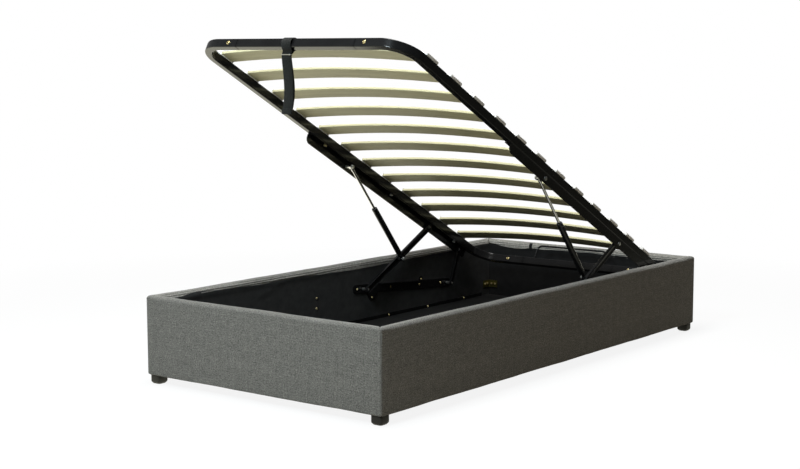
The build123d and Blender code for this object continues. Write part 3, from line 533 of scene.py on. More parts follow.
def arc(centre, radius, start, end, steps):
    """Points of a circle's arc in a panel's section."""
    turn = np.radians(np.linspace(start, end, steps))
    return np.stack([centre[0] + radius * np.cos(turn), centre[1] + radius * np.sin(turn)], -1)


def line(start, end, steps):
    """Evenly spaced points between two, without the first."""
    share = np.linspace(0, 1, steps + 1)[1:, None]
    return np.asarray(start) * (1 - share) + np.asarray(end) * share


def free_of_strap(name, t):
    """0 where the pull strap passes the foot board and 1 elsewhere, with smooth sides."""
    if name != "foot":
        return np.ones_like(t)
    return ramp(np.abs(t - STRAP_X), 0.035, 0.05)


def cover_section():
    """Depths and heights round a cover, and how many of them are on its skin: under the panel,
    up its face, over its top, down the inner return, and back round the board."""
    low_centre = BOX_BOTTOM + HEM_ROLL
    outer_centre, inner_centre = BOX_TOP - OUTER_ROLL, BOX_TOP - INNER_ROLL
    skin = np.concatenate([
        line((BOARD_FAR, BOX_BOTTOM), (HEM_ROLL, BOX_BOTTOM), 6),
        arc((HEM_ROLL, low_centre), HEM_ROLL, 265, 180, 5),
        line((0, low_centre), (0, outer_centre), 26),
        arc((OUTER_ROLL, outer_centre), OUTER_ROLL, 174, 90, 9),
        line((OUTER_ROLL, BOX_TOP), (RETURN_DEPTH - INNER_ROLL, BOX_TOP), 5),
        arc((RETURN_DEPTH - INNER_ROLL, inner_centre), INNER_ROLL, 86, 0, 28),
        line((RETURN_DEPTH, inner_centre), (RETURN_DEPTH, RETURN_BOTTOM), 18),
    ])
    near, far = BOARD_NEAR - BOARD_GAP, BOARD_FAR + BOARD_GAP
    low, high = BOARD_BOTTOM - BOARD_GAP, BOARD_TOP + BOARD_GAP
    corners = ((RETURN_DEPTH, RETURN_BOTTOM), (far, RETURN_BOTTOM), (far, high), (near, high), (near, low),
               (BOARD_FAR, low))
    inside = [line(start, end, steps) for start, end, steps in zip(corners, corners[1:], (1, 2, 2, 3, 2))]
    return np.concatenate([skin, *inside]), len(skin)


def crease_height(seed, t, z):
    """Lengthwise folds of the inner return: each is a groove with a softer ridge over it, both
    bell curves of the height about a level that wanders along the panel."""
    total = 0
    for k, level in enumerate(CREASE_DEPTHS):
        wander = BOX_TOP - level + 0.0016 * waves(seed + 20 + k, 5, 0.12, 0.9)(t)
        strength = np.clip(0.75 + 0.6 * waves(seed + 40 + k, 4, 0.15, 0.9)(t), 0.1, 1.2)
        groove = np.exp(-((z - wander) / 0.0018) ** 2)
        ridge = np.exp(-((z - wander - 0.0036) / 0.0022) ** 2)
        total = total - 3.0 * strength * groove + 1.6 * strength * ridge
    return total


def cover_shell(name, wrinkle, seam):
    """A panel's cover, as a section carried along the panel and cut off at 45 degrees.
    The skin moves along its own normal by long waves on the faces, creases and gathers on the
    inner return, a dip at each corner seam, and a crisp corner on the outer roll."""
    section, skin_count = cover_section()
    deep, z = section.T
    tangent = np.gradient(section[:skin_count], axis=0)
    tangent /= np.linalg.norm(tangent, axis=1)[:, None]
    normal = np.zeros_like(section)
    normal[:skin_count] = np.stack([-tangent[:, 1], tangent[:, 0]], -1)
    on_skin = (np.arange(len(section)) < skin_count).astype(float)
    outward = np.abs(normal[:, 0] + 1) < 0.02
    on_face = on_skin * outward * np.sin(np.pi * ramp(z, BOX_BOTTOM, BOX_TOP - BOX_BOTTOM))
    on_top = on_skin * ramp(z, BOX_TOP - OUTER_ROLL, OUTER_ROLL)
    on_roll = on_top * ramp(deep, OUTER_ROLL, -OUTER_ROLL)
    on_return = on_skin * (deep > 0.022) * ramp(z, BOX_TOP, -0.004)
    on_hem = on_skin * (z < BOX_BOTTOM + 0.002)

    reach = PANELS[name][2] - 0.0004
    share = panel_shares(reach)[:, None]
    t, to_end = share * reach, reach * (1 - np.abs(share))
    seed = 11 * (1 + list(PANELS).index(name))
    swell, tops = waves(seed, 4, 0.35, 1.3), waves(seed + 1, 5, 0.09, 0.6)
    folds, hem = waves(seed + 2, 5, 0.10, 0.8), waves(seed + 4, 5, 0.06, 0.5)
    gathers = np.sin(2 * np.pi * (t / GATHER_SPACING + 0.9 * folds(t + 0.3)) + z * 110) * (0.4 + folds(t))
    fold = wrinkle * (crease_height(seed, t, z) + GATHERS[name] * gathers) * on_return
    fold = fold * free_of_strap(name, t)
    lift = FACE_WAVE * swell(t) * on_face + TOP_WAVE * tops(t) * on_top
    lift = lift + np.clip(fold, DEEPEST_FOLD, HIGHEST_FOLD)
    dip = seam * (np.exp(-(to_end / SEAM_WIDTH) ** 2) + 0.08 * np.exp(-(to_end / 0.02) ** 2)) * on_skin
    crisp = CORNER_RISE * on_roll * np.exp(-(to_end / 0.03) ** 2)
    move = lift * ramp(to_end, 0, 0.03) + crisp - dip
    depth = deep + move * normal[:, 0]
    height = z + move * normal[:, 1] + HEM_WAVE * hem(t) * on_hem
    along = share * (reach - np.clip(deep, 0, RETURN_DEPTH))
    return shell(on_panel(name, depth, along, height))


# Lining: the staples of its upper edge, as places along the bed's axis and heights

STAPLES = {
    "side_left": ((-0.957, 0.275), (-0.884, 0.279), (-0.795, 0.2890), (-0.70, 0.2805), (-0.60, 0.278),
                  (-0.50, 0.2746), (-0.27, 0.276), (0.07, 0.2668), (0.42, 0.2735), (0.957, 0.278)),
    "head": ((-0.4645, 0.283), (-0.382, 0.2703), (-0.304, 0.2655), (-0.254, 0.2745), (-0.178, 0.2733),
             (-0.071, 0.2767), (0.089, 0.2756), (0.206, 0.2748), (0.33, 0.270), (0.4645, 0.279)),
    "side_right": ((-0.957, 0.278), (-0.70, 0.271), (-0.42, 0.2765), (-0.1, 0.270), (0.25, 0.2775),
                   (0.957, 0.272)),
    "foot": ((-0.4645, 0.277), (-0.25, 0.272), (-0.1, 0.2745), (0.02, 0.2745), (0.28, 0.270),
             (0.4645, 0.2765)),
}
TAB_PLACE, TAB_HALF_WIDTH, TAB_NEAR, TAB_FAR = -0.25, 0.007, 0.0018, 0.0028


def lining_edge(name, place):
    """Height of the lining's stapled edge: straight runs between staples, softened by averaging."""
    along, height = np.array(STAPLES[name]).T
    spread = np.linspace(-0.022, 0.022, 9)
    return np.mean([np.interp(place + shift, along, height) for shift in spread], axis=0)


def return_depth(z):
    """Depth of the cover's inner side at a height: upright below, a quarter circle at the top."""
    above = np.clip(z - (BOX_TOP - INNER_ROLL), 0, INNER_ROLL)
    return RETURN_DEPTH - INNER_ROLL + np.sqrt(INNER_ROLL ** 2 - above ** 2)


def lining_tab(name):
    """A short tab of the lining that stands over its stapled edge, laid along the cover's roll."""
    z = np.linspace(lining_edge(name, TAB_PLACE) - 0.004, BOX_TOP - 0.002, 14)[:, None]
    along = runs_with_axis(name) * (TAB_PLACE + TAB_HALF_WIDTH * vector(-1, 1, 1, -1))
    depth = return_depth(z) + vector(TAB_NEAR, TAB_NEAR, TAB_FAR, TAB_FAR)
    return shell(on_panel(name, depth, along, z))


def lining_shell(name):
    """The lining of one inner wall, a thin sheet whose upper edge is stapled over the fabric.
    Its depth follows the board below and comes forward over the fabric's return above, with
    soft hollows between the staples; its upper edge rises and falls along the panel."""
    reach = PANELS[name][2] - LINING_FACE + LINING_LAP
    t = np.linspace(-reach, reach, int(reach / 0.006))[:, None]
    seed = 301 + 7 * list(PANELS).index(name)
    edge, hollow = waves(seed, 4, 0.04, 0.16), waves(seed + 1, 5, 0.06, 0.4)
    crumple = waves(seed + 2, 6, 0.03, 0.25)
    forward_from, forward_run, forward = 0.256, 0.016, 0.0018
    billow_from, billow_run, edge_run = 0.222, 0.02, 0.008
    edge_wave, billow_depth, flattest = 0.0012, 0.0018, -0.0002
    clear = free_of_strap(name, t)
    top = lining_edge(name, runs_with_axis(name) * t) + edge_wave * edge(t) * clear
    z = LINING_BOTTOM + (top - LINING_BOTTOM) * np.linspace(0, 1, 40)
    over = smooth(ramp(z, forward_from, forward_run))
    billow = ramp(z, billow_from, billow_run) * ramp(z, top, -edge_run)
    puff = billow_depth * (hollow(t) + 0.6 * crumple(t + 2.3 * z)) * billow * clear
    back = LINING_BACK + forward * over + np.maximum(puff, flattest) - (RETURN_DEPTH - return_depth(z))
    along = t * np.minimum(1 - (back - LINING_FACE) / reach, 1)
    faces = on_panel(name, back, along, z), on_panel(name, back + LINING_SHEET, along, z)[:, ::-1]
    return shell(np.concatenate(faces, 1))


# Slats and their holders

def slat_rise(x):
    """Height of the bow over its ends: a circle through both ends and the crown."""
    radius = (SLAT_END ** 2 + SLAT_CROWN ** 2) / (2 * SLAT_CROWN)
    return np.sqrt(radius ** 2 - x ** 2) - (radius - SLAT_CROWN)


def slat_shell(s, seed):
    """A slat: a rectangle with rounded edges carried along a shallow circular bow."""
    across, upright = rounded_loop(SLAT_WIDTH, SLAT_THICKNESS, 0.0016, 4)
    shrink, ends = vector(0.972, 0.99, 1.0), vector(0.0, 0.0006, 0.0016)
    inner = np.linspace(-SLAT_END + 0.006, SLAT_END - 0.006, 73)
    x = np.concatenate([-SLAT_END + ends, inner, (SLAT_END - ends)[::-1]])[:, None]
    scale = np.concatenate([shrink, np.ones(len(inner)), shrink[::-1]])[:, None]
    warp = 0.0004 * waves(seed, 3, 0.5, 1.4)(x) * (1 - (x / SLAT_END) ** 2)
    part = shell(in_lid(x, s + across * scale, SLAT_MIDDLE + slat_rise(x) + upright * scale + warp))
    section = np.stack(np.broadcast_arrays(x + seed * 0.37, across, upright), -1)
    part["section"] = section.reshape(-1, 3)
    return part


# Steps of a holder's wall: how far in from its outer end, how much narrower and how much lower
HOLDER_WALL = (
    (0.0, 0.0035, 0.0003), (0.0006, 0.0014, 0.0), (0.0018, 0.0004, 0.0), (0.0036, 0.0, 0.0),
    (0.0060, 0.0, 0.0), (0.0085, 0.0, 0.0), (HOLDER_SLOPE - 0.0012, 0.0, 0.0003),
    (HOLDER_SLOPE + 0.0006, 0.0, 0.0002), (HOLDER_SLOPE + 0.003, 0.0, 0.0),
    (HOLDER_RUN - 0.0012, 0.0, 0.0), (HOLDER_RUN - 0.0003, 0.0005, 0.0004), (HOLDER_RUN, 0.0014, 0.0010))
# Steps of its pocket: how far out from the mouth, and how much larger than the slat
HOLDER_POCKET = ((0.0, 0.0010), (0.0007, 0.0004), (0.0016, 0.0002),
                 (SLAT_END - HOLDER_OUTER + HOLDER_RUN + 0.0002, 0.0002))


def holder_shell(s, sign):
    """A slat holder: an outline that rises from a low outer end to the mouth, then turns
    into the pocket and runs back along the slat's bow to the pocket's blind end."""
    rows = []
    for run, narrow, low in HOLDER_WALL:
        rise = HOLDER_END_HEIGHT + (HOLDER_HEIGHT - HOLDER_END_HEIGHT) * min(run / HOLDER_SLOPE, 1.0) - low
        a, b = rounded_loop(HOLDER_LENGTH - 2 * narrow, rise, 0.0018, 4)
        rows.append(in_lid(sign * (HOLDER_OUTER - run), s + a, TUBE_HEIGHT + rise / 2 + b))
    for out, grow in HOLDER_POCKET:
        x = HOLDER_OUTER - HOLDER_RUN + out
        a, b = rounded_loop(SLAT_WIDTH + 2 * grow, SLAT_THICKNESS + 2 * grow, 0.0016, 4)
        rows.append(in_lid(sign * x, s + a, SLAT_MIDDLE + slat_rise(min(x, SLAT_END)) + b))
    return shell(rows)


# Linkage: steps across an arm's sheet, as distances in from its edge, in depth and in from its ends
ARM_STEPS = (
    (0.0068, 0.0007, 0.032), (0.0058, 0.0004, 0.0312), (0.0050, 0.0, 0.0305), (0.0020, 0.0, 0.0),
    (0.0009, 0.0003, 0.0), (0.0002, 0.0010, 0.0), (0.0, 0.0020, 0.0), (0.0, ARM_DEPTH - 0.0007, 0.0),
    (0.0006, ARM_DEPTH, 0.0), (0.0019, ARM_DEPTH, 0.0), (0.0025, ARM_DEPTH - 0.0007, 0.0),
    (0.0025, 0.0037, 0.0), (0.0029, 0.0028, 0.0), (0.0036, ARM_SHEET, 0.0), (0.0052, ARM_SHEET, 0.0305),
    (0.0060, 0.0029, 0.0312), (0.0070, 0.0032, 0.032))


def arm_shell(start, end, height, sign):
    """A pressed arm: rounded outlines stepped from a shallow rib in its web out to the
    rolled rim, over it, and back down to the same rib on the inner side."""
    place = framed(at_x(start, sign * ARM_FACE), end - start, -sign * ACROSS)
    rows = []
    for narrow, depth, inset in ARM_STEPS:
        x, y = stadium_loop(np.linalg.norm(end - start) - 2 * inset, height / 2 - narrow)
        rows.append(place(x + inset, y, depth))
    return shell(rows)


def bolt_head(origin, axis, height=0.004):
    """Hexagon head: at each height the outline is the smaller of the hexagon and a circle,
    whose radius shrinks towards the outer face at thirty degrees."""
    full, turn = FLATS / math.sqrt(3), 0.4
    profile = ((full, 0.0), (full, height - 0.0011), (full * 0.975, height - 0.0009),
               (full * 0.93, height - 0.00055), (full * 0.885, height - 0.0002), (FLATS / 2 * 0.94, height))
    side = np.cross(axis, vector(0, math.sin(turn), math.cos(turn)))
    return stacked(framed(origin, side, axis), profile, lambda limit: hexagon_loop(FLATS, limit))


def axle_frame(start, axis):
    """The frame of a round piece whose axis goes across the bed."""
    return framed(start, np.cross(axis, vector(0, 0.3, 1)), axis)


def nut(point, sign, outer, height=NUT_HEIGHT):
    """A lock nut: hexagon with a round collar over its ring."""
    origin, axis = at_x(point, sign * outer), -sign * ACROSS
    collar = ((0.0052, 0.0), (0.0052, height * 0.24), (0.0049, height * 0.34), (0.0042, height * 0.38))
    return [bolt_head(origin, axis, height * 0.68),
            turned(axle_frame(origin + axis * (height * 0.62), axis), collar, 24)]


def pin(point, sign, outer, inner, radius=0.004, tip=0.0008):
    """A round bolt shank with a chamfered tip."""
    length = outer - inner
    profile = ((radius, 0.0), (radius, length - tip), (radius - tip, length))
    return turned(axle_frame(at_x(point, sign * outer), -sign * ACROSS), profile, 28)


def sleeve(point, sign, outer, inner, radius=0.006, ease=0.0004):
    """A spacer sleeve with eased edges."""
    length = outer - inner
    profile = ((radius - ease, 0.0), (radius, ease), (radius, length - ease), (radius - ease, length))
    return turned(axle_frame(at_x(point, sign * outer), -sign * ACROSS), profile, 28)


def strut_bolt(point, sign, start):
    """The bolt through a gas strut's eye: a sleeve up to the eye, a shank and a nut behind it."""
    return [sleeve(point, sign, start, STRUT_X + EYE_HALF + SEAT_GAP),
            pin(point, sign, start, STRUT_X - EYE_HALF - 0.0085),
            *nut(point, sign, STRUT_X - EYE_HALF - SEAT_GAP)]


def strut_piece(sign, outline, steps, pivot):
    """A gas strut's cylinder or rod: an outline of radii and lengths from the strut's lower
    pivot, turned about its axis, with an end eye, whose bevelled section is carried round."""
    place = framed(at_x(STRUT_BOTTOM, sign * STRUT_X), ACROSS, STRUT_TOP - STRUT_BOTTOM)
    outer, inner, bevel = EYE_HALF, 0.0051, 0.0048
    section = ((0.0083, -outer), (0.0090, -bevel), (0.0090, bevel), (0.0083, outer),
               (0.0047, outer), (0.0042, inner), (0.0042, -inner), (0.0047, -outer))
    eye = framed(at_x(pivot, sign * STRUT_X), vector(0, 1, 0), ACROSS)
    return [turned(place, outline, steps), stacked(eye, section, circle_loop, ring=True)]


# Gas strut outlines: the cylinder has a rolled shoulder, a crimp groove and a seal
CYLINDER_OUTLINE = (
    (0.0045, 0.0078), (0.0058, 0.0086), (0.0058, 0.0200), (0.0070, 0.0209), (0.0090, 0.0221),
    (0.0103, 0.0238), (0.0109, 0.0258), (0.0110, 0.0285), (0.0110, 0.2560), (0.0108, 0.2572),
    (0.0101, 0.2584), (0.0100, 0.2596), (0.0107, 0.2608), (0.0110, 0.2622), (0.0110, 0.2705),
    (0.0107, 0.2730), (0.0099, 0.2745), (0.0086, 0.2750), (0.0080, 0.2748), (0.0078, 0.2738),
    (0.0052, 0.2738))
ROD_OUTLINE = (
    (0.0049, 0.2560), (0.0050, 0.2564), (0.0050, STRUT_LENGTH - 0.0215), (0.0060, STRUT_LENGTH - 0.0208),
    (0.0064, STRUT_LENGTH - 0.0200), (0.0064, STRUT_LENGTH - 0.0112), (0.0058, STRUT_LENGTH - 0.0100),
    (0.0050, STRUT_LENGTH - 0.0080))


# Screws and feet

def screw_head(point, outward, radius, height, seed):
    """A pan head with a cross recess: height over radius r is a flattened dome, less a cross
    whose arms are narrow in angle and fade towards the edge, on a polar grid."""
    spin = np.random.default_rng(seed).uniform(0, np.pi)
    reach = vector(0.03, 0.16, 0.30, 0.44, 0.56, 0.68, 0.80, 0.90, 0.97, 1.0, 1.0)[:, None]
    turn = round_angles(32)
    on_cross = (np.abs(np.sin(2 * turn)) < 0.30 / np.maximum(reach * 2.2, 0.3)) & (reach < 0.6)
    z = height * (1 - reach ** 4) ** 0.5 - np.where(on_cross, 0.55 * height * (1 - reach * 0.8), 0.0)
    z[-1] = -0.0001
    place = framed(point, np.cross(UP, outward), outward)
    return shell(place(reach * radius * np.cos(turn + spin), reach * radius * np.sin(turn + spin), z)[::-1])


# Screws of a hinge rail, along it from the front pivot and square to it, and of the other parts
RAIL_SCREWS = ((-0.034, 0), (0.174, 0), (0.363, 0), (0.5095, 0), (0.373, 0.022), (0.061, -0.037))
BRACKET_SCREWS, BRACKET_HEIGHT = (0.015, 0.033), 0.105
SIDE_SCREWS_FROM_FOOT, SIDE_SCREW_HEIGHTS = 0.781, (0.145, 0.184)
ANGLE_SCREWS, ANGLE_SCREW_HEIGHT, ANGLE_SCREW_MARGIN = 7, 0.063, 0.060


def box_screw_places():
    """Points on the inner walls, with the way they face and the sheet under each head."""
    rail = vector(0, math.cos(RAIL_SLOPE), -math.sin(RAIL_SLOPE))
    rise = vector(0, math.sin(RAIL_SLOPE), math.cos(RAIL_SLOPE))
    pitch = 2 * (INSIDE_Y - ANGLE_SCREW_MARGIN) / ANGLE_SCREWS
    places = []
    for sign in (-1, 1):
        face = -sign * ACROSS
        for reach in BRACKET_SCREWS:
            for end in (-1, 1):
                places.append((vector(sign * (INSIDE_X - reach), end * INSIDE_Y, BRACKET_HEIGHT),
                               vector(0, -end, 0), BRACKET_SHEET))
                places.append((vector(sign * INSIDE_X, end * (INSIDE_Y - reach), BRACKET_HEIGHT),
                               face, BRACKET_SHEET))
        pivot = at_x(FRONT_PIVOT, sign * INSIDE_X)
        for along, lift in RAIL_SCREWS:
            places.append((pivot + along * rail + lift * rise, face, RAIL_SHEET))
        for z in SIDE_SCREW_HEIGHTS:
            places.append((vector(sign * INSIDE_X, SIDE_SCREWS_FROM_FOOT - INSIDE_Y, z), face, 0.0))
        for k in range(ANGLE_SCREWS):
            place = vector(sign * INSIDE_X, (k - ANGLE_SCREWS // 2) * pitch, ANGLE_SCREW_HEIGHT)
            places.append((place, face, FLOOR_ANGLE_SHEET))
    return places


def foot_shell(x, y):
    """A foot: rounded squares that narrow at the floor, with a small flat under them."""
    profile = ((0.030, 0.0), (0.0316, 0.0004), (0.0345, 0.0022), (0.0385, 0.0045), (0.0408, 0.0064),
               (FOOT_WIDTH, 0.0090), (FOOT_WIDTH, FOOT_HEIGHT - 0.0012),
               (FOOT_WIDTH - 0.0006, FOOT_HEIGHT - 0.0002), (FOOT_WIDTH - 0.0016, FOOT_HEIGHT))
    place = framed(vector(x, y, 0), ACROSS, UP)
    return stacked(place, profile, lambda width: rounded_loop(width, width, 0.007))


# Pull strap

def strap_ply(side, bulge):
    """Centre line of one ply in the side view, from the loop over the tube down to the hem, as
    distances towards the head and heights over the tube's middle. Both plies bulge to the head."""
    top, bottom, half_gap, spread = -0.026, -0.221, 0.0011, 0.006
    z = np.linspace(top, bottom, 60)
    share = ramp(z, -0.029, -0.192)
    y = bulge * np.sin(np.pi * share ** 1.15) * (0.6 + 0.4 * share) * ramp(share, 1, -0.05)
    return np.stack([side * half_gap + y + side * spread * ramp(z, -0.034, 0.008) ** 1.4, z], -1)


def strap_parts():
    """The webbing: a ribbon whose flat oval section is carried along the centre line, round the
    tube, and down both plies to a folded hem; it twists and cups a little on the way."""
    turn = np.radians(np.linspace(252, -72, 66))
    loop = STRAP_LOOP * np.stack([np.cos(turn), np.sin(turn)], -1)
    path = np.concatenate([strap_ply(-1, 0.0125)[::-1][:-2], loop, strap_ply(1, 0.0175)[2:]])
    distance = np.concatenate([[0], np.cumsum(np.linalg.norm(np.diff(path, axis=0), axis=1))])
    even = np.linspace(0, distance[-1], 230)
    path = np.stack([np.interp(even, distance, column) for column in path.T], -1)
    kernel = np.hanning(9) / np.hanning(9).sum()
    path[4:-4] = np.stack([np.convolve(column, kernel, "valid") for column in path.T], -1)
    tangent = np.gradient(path, axis=0)
    tangent /= np.linalg.norm(tangent, axis=1)[:, None]
    across, thick = rounded_loop(WEBBING_WIDTH, 0.0017, 0.0007, 3)
    y, z = path[:, :1], path[:, 1:]
    cupping, sideways_shift = 0.05, 0.016
    low = ramp(z, -0.05, -0.15)
    offset = thick + across * cupping * low * np.sin(np.pi * low)
    skew = sideways_shift * smooth(ramp(z, -0.038, 0.028))
    points = at_x(FOOT_TUBE, STRAP_X) + np.stack(
        [across + skew, y - offset * tangent[:, 1:], z + offset * tangent[:, :1]], -1)
    hem = framed(at_x(FOOT_TUBE, STRAP_X) - 0.2215 * UP, ACROSS, UP)
    sizes = (((0.0392, 0.0048), 0.0), ((0.0402, 0.0062), 0.0006), ((0.0406, 0.0068), 0.0020),
             ((0.0406, 0.0068), 0.0155), ((0.0403, 0.0060), 0.0168), ((0.0396, 0.0050), 0.0172))
    return [shell(points), stacked(hem, sizes, lambda size: rounded_loop(*size, 0.0012, 3))]


def keeper_parts():
    """The wire keeper: a round wire carried along a rounded rectangle, and its rivet."""
    below_tube, room, depth, corner, wire_radius, wire_stretch = 0.0323, 0.0025, 0.0062, 0.0022, 0.0011, 1.3
    centre = at_x(FOOT_TUBE, STRAP_X) - below_tube * UP
    a, b = rounded_loop(WEBBING_WIDTH + room, depth, corner)
    outline = np.stack([a, b, np.zeros_like(a)], -1)
    step = np.roll(outline, -1, 0) - np.roll(outline, 1, 0)
    side = np.cross(step / np.linalg.norm(step, axis=1)[:, None], UP)
    turn = round_angles(12)[:, None]
    section = np.cos(turn) * side[:, None] + np.sin(turn) * UP * wire_stretch
    wire = centre + outline[:, None] + wire_radius * section
    rivet = turned(framed(centre + vector(0.0165, -0.0040, 0), ACROSS, vector(0, -1, 0)),
                   ((0.0025, 0.0), (0.0024, 0.0006), (0.0019, 0.0011), (0.0010, 0.0014)), 24)
    return [shell(wire, ring=True), rivet]


# Settings a user can change

class FabricSettings(bpy.types.PropertyGroup):
    colour: bpy.props.FloatVectorProperty(
        name="Upholstery colour", description="Linear colour of the woven cover",
        subtype="COLOR", size=3, min=0, max=1, default=(0.147, 0.141, 0.128))
    lining_colour: bpy.props.FloatVectorProperty(
        name="Lining colour", description="Linear colour of the storage lining",
        subtype="COLOR", size=3, min=0, max=1, default=(0.0400, 0.0405, 0.0410))
    thread_pitch: bpy.props.FloatProperty(
        name="Thread pitch", description="Distance between the cover's threads",
        subtype="DISTANCE", unit="LENGTH", min=0.0005, max=0.005, default=0.0014, precision=4)
    wrinkle: bpy.props.FloatProperty(
        name="Wrinkle height", description="Height of the folds on the inner return",
        subtype="DISTANCE", unit="LENGTH", min=0, max=0.003, default=0.0010, precision=4)
    seam: bpy.props.FloatProperty(
        name="Seam depth", description="Depth of the seam at each corner",
        subtype="DISTANCE", unit="LENGTH", min=0, max=0.004, default=0.0024, precision=4)


class MetalSettings(bpy.types.PropertyGroup):
    coat_colour: bpy.props.FloatVectorProperty(
        name="Powder coat colour", description="Linear colour of the frame",
        subtype="COLOR", size=3, min=0, max=1, default=(0.0074, 0.0075, 0.0078))
    coat_roughness: bpy.props.FloatProperty(
        name="Powder coat roughness", description="Roughness of the frame",
        subtype="FACTOR", min=0, max=1, default=0.18)


class WoodSettings(bpy.types.PropertyGroup):
    slat_colour: bpy.props.FloatVectorProperty(
        name="Slat colour", description="Linear colour of the slats",
        subtype="COLOR", size=3, min=0, max=1, default=(0.66, 0.622, 0.395))
    holder_colour: bpy.props.FloatVectorProperty(
        name="Holder colour", description="Linear colour of the slat holders",
        subtype="COLOR", size=3, min=0, max=1, default=(0.84, 0.83, 0.81))


class StageSettings(bpy.types.PropertyGroup):
    key_power: bpy.props.FloatProperty(
        name="Key light", description="Power of the light high over the foot end",
        subtype="POWER", unit="POWER", min=0, default=116.0)
    top_power: bpy.props.FloatProperty(
        name="Top light", description="Power of the light overhead",
        subtype="POWER", unit="POWER", min=0, default=112.0)
    left_fill: bpy.props.FloatVectorProperty(
        name="Left fill", description="Linear colour of the surrounding light on the left",
        subtype="COLOR", size=3, min=0, max=1, default=(0.25, 0.26, 0.26))
    right_fill: bpy.props.FloatVectorProperty(
        name="Right fill", description="Linear colour of the surrounding light on the right",
        subtype="COLOR", size=3, min=0, max=1, default=(0.150, 0.140, 0.125))
    floor_bounce: bpy.props.FloatVectorProperty(
        name="Floor bounce", description="Linear colour that the floor gives back to the bed",
        subtype="COLOR", size=3, min=0, max=1, default=(0.47, 0.44, 0.385))
    side_bounce: bpy.props.FloatVectorProperty(
        name="Side bounce", description="Linear colour that the floor gives back beside the right panel",
        subtype="COLOR", size=3, min=0, max=1, default=(0.24, 0.205, 0.155))


# Stage

def floor_material(stage):
    """White to the camera, paler near the bed so that its shadow shows, glowing in glossy pieces as a
    painted reflection brighter on the left, and a plain floor colour to all other light, darker at the right."""
    material, tree, place = start_material("studio_floor", "Object")
    rays = add_node(tree, "ShaderNodeLightPath").outputs
    away = add_node(tree, "ShaderNodeVectorMath", {"operation": "LENGTH"}, _0=place).outputs["Value"]
    beside = add_node(tree, "ShaderNodeVectorMath", {"operation": "DISTANCE"}, _0=place, _1=(1.3, 0.3, 0.0))
    tone = colour_ramp(tree, remap(tree, beside.outputs["Value"], 0.7, 2.1), (0.0, stage.side_bounce),
                       (1.0, stage.floor_bounce))
    bounce = add_node(tree, "ShaderNodeBsdfDiffuse", Color=tone).outputs[0]
    pale = add_node(tree, "ShaderNodeBsdfDiffuse", Color=(0.88, 0.88, 0.88, 1)).outputs[0]
    white = add_node(tree, "ShaderNodeEmission", Color=(1, 1, 1, 1), Strength=1.0).outputs[0]
    seen = blend_shaders(tree, remap(tree, away, 1.3, 3.2, 0.88, 1.0), pale, white)
    # Painted reflection: glossy pieces see the floor glow, brightest on the left and fading to the right.
    sheen = remap(tree, split_axes(tree, place)["X"], -0.6, 1.6, 1.0, 0.04)
    painted_reflection = add_node(tree, "ShaderNodeEmission", Color=(1.4, 1.37, 1.12, 1), Strength=sheen).outputs[0]
    lit = blend_shaders(tree, rays["Is Camera Ray"], bounce, seen)
    shown = blend_shaders(tree, rays["Is Glossy Ray"], lit, painted_reflection)
    add_node(tree, "ShaderNodeOutputMaterial", Surface=shown)
    return material


def studio_floor(stage):
    """A flat square that reaches far past the bed, just below its feet."""
    reach, drop = 40, -0.0005
    mesh = bpy.data.meshes.new("studio_floor")
    corners = [(-reach, -reach, drop), (reach, -reach, drop), (reach, reach, drop), (-reach, reach, drop)]
    mesh.from_pydata(corners, [], [(0, 1, 2, 3)])
    mesh.materials.append(floor_material(stage))
    floor = bpy.data.objects.new("studio_floor", mesh)
    bpy.context.scene.collection.objects.link(floor)


def studio_world(stage):
    """White behind everything that the camera sees, also through clear pieces, and a fill that
    fades from left to right for all other light, dimmer in glossy pieces."""
    world = bpy.data.worlds.new("studio_world")
    tree = cleared_tree(world)
    rays = add_node(tree, "ShaderNodeLightPath").outputs
    heading = add_node(tree, "ShaderNodeTexCoord").outputs["Generated"]
    side = remap(tree, split_axes(tree, heading)["X"], -1.0, 1.0)
    fill = colour_ramp(tree, side, (0.25, stage.left_fill), (0.9, stage.right_fill))
    studio = colour_ramp(tree, side, (0.0, (0.26, 0.26, 0.26)), (0.85, (0.05, 0.05, 0.05)))
    light = blend_colours(tree, rays["Is Glossy Ray"], fill, studio)
    open_ray = calculate(tree, "MAXIMUM", rays["Is Camera Ray"], rays["Is Transmission Ray"])
    background = add_node(tree, "ShaderNodeBackground", Strength=1.0,
                          Color=blend_colours(tree, open_ray, light, (1, 1, 1, 1)))
    add_node(tree, "ShaderNodeOutputWorld", Surface=background.outputs[0])
    return world


def area_light(name, place, target, size, power, colour):
    """A rectangular lamp that faces its target."""
    light = bpy.data.lights.new(name, "AREA")
    light.color = colour
    light.shape = "RECTANGLE"
    light.size, light.size_y = size
    light.energy = power
    lamp = bpy.data.objects.new(name, light)
    lamp.location = place
    lamp.rotation_euler = (Vector(target) - Vector(place)).to_track_quat("-Z", "Y").to_euler()
    bpy.context.scene.collection.objects.link(lamp)


def photo_camera():
    """A camera at the height and turn that were fitted to the bed's edges: it is turned about the
    bed by its azimuth, tipped down by its elevation, and rolled about its own view."""
    place = (3.2284, -4.3913, 1.0943)
    azimuth, elevation, roll = math.radians(37.02), math.radians(7.14), math.radians(0.02)
    data = bpy.data.cameras.new("photo_camera")
    data.sensor_width, data.lens = 36.0, 68.073
    data.shift_x, data.shift_y = -0.03299, 0.01030
    data.clip_start, data.clip_end = 0.05, 200.0
    camera = bpy.data.objects.new("photo_camera", data)
    heading, tilt = Matrix.Rotation(azimuth, 4, "Z"), Matrix.Rotation(math.pi / 2 - elevation, 4, "X")
    camera.matrix_world = Matrix.Translation(place) @ heading @ tilt @ Matrix.Rotation(roll, 4, "Z")
    bpy.context.scene.collection.objects.link(camera)
    return camera


# Operators

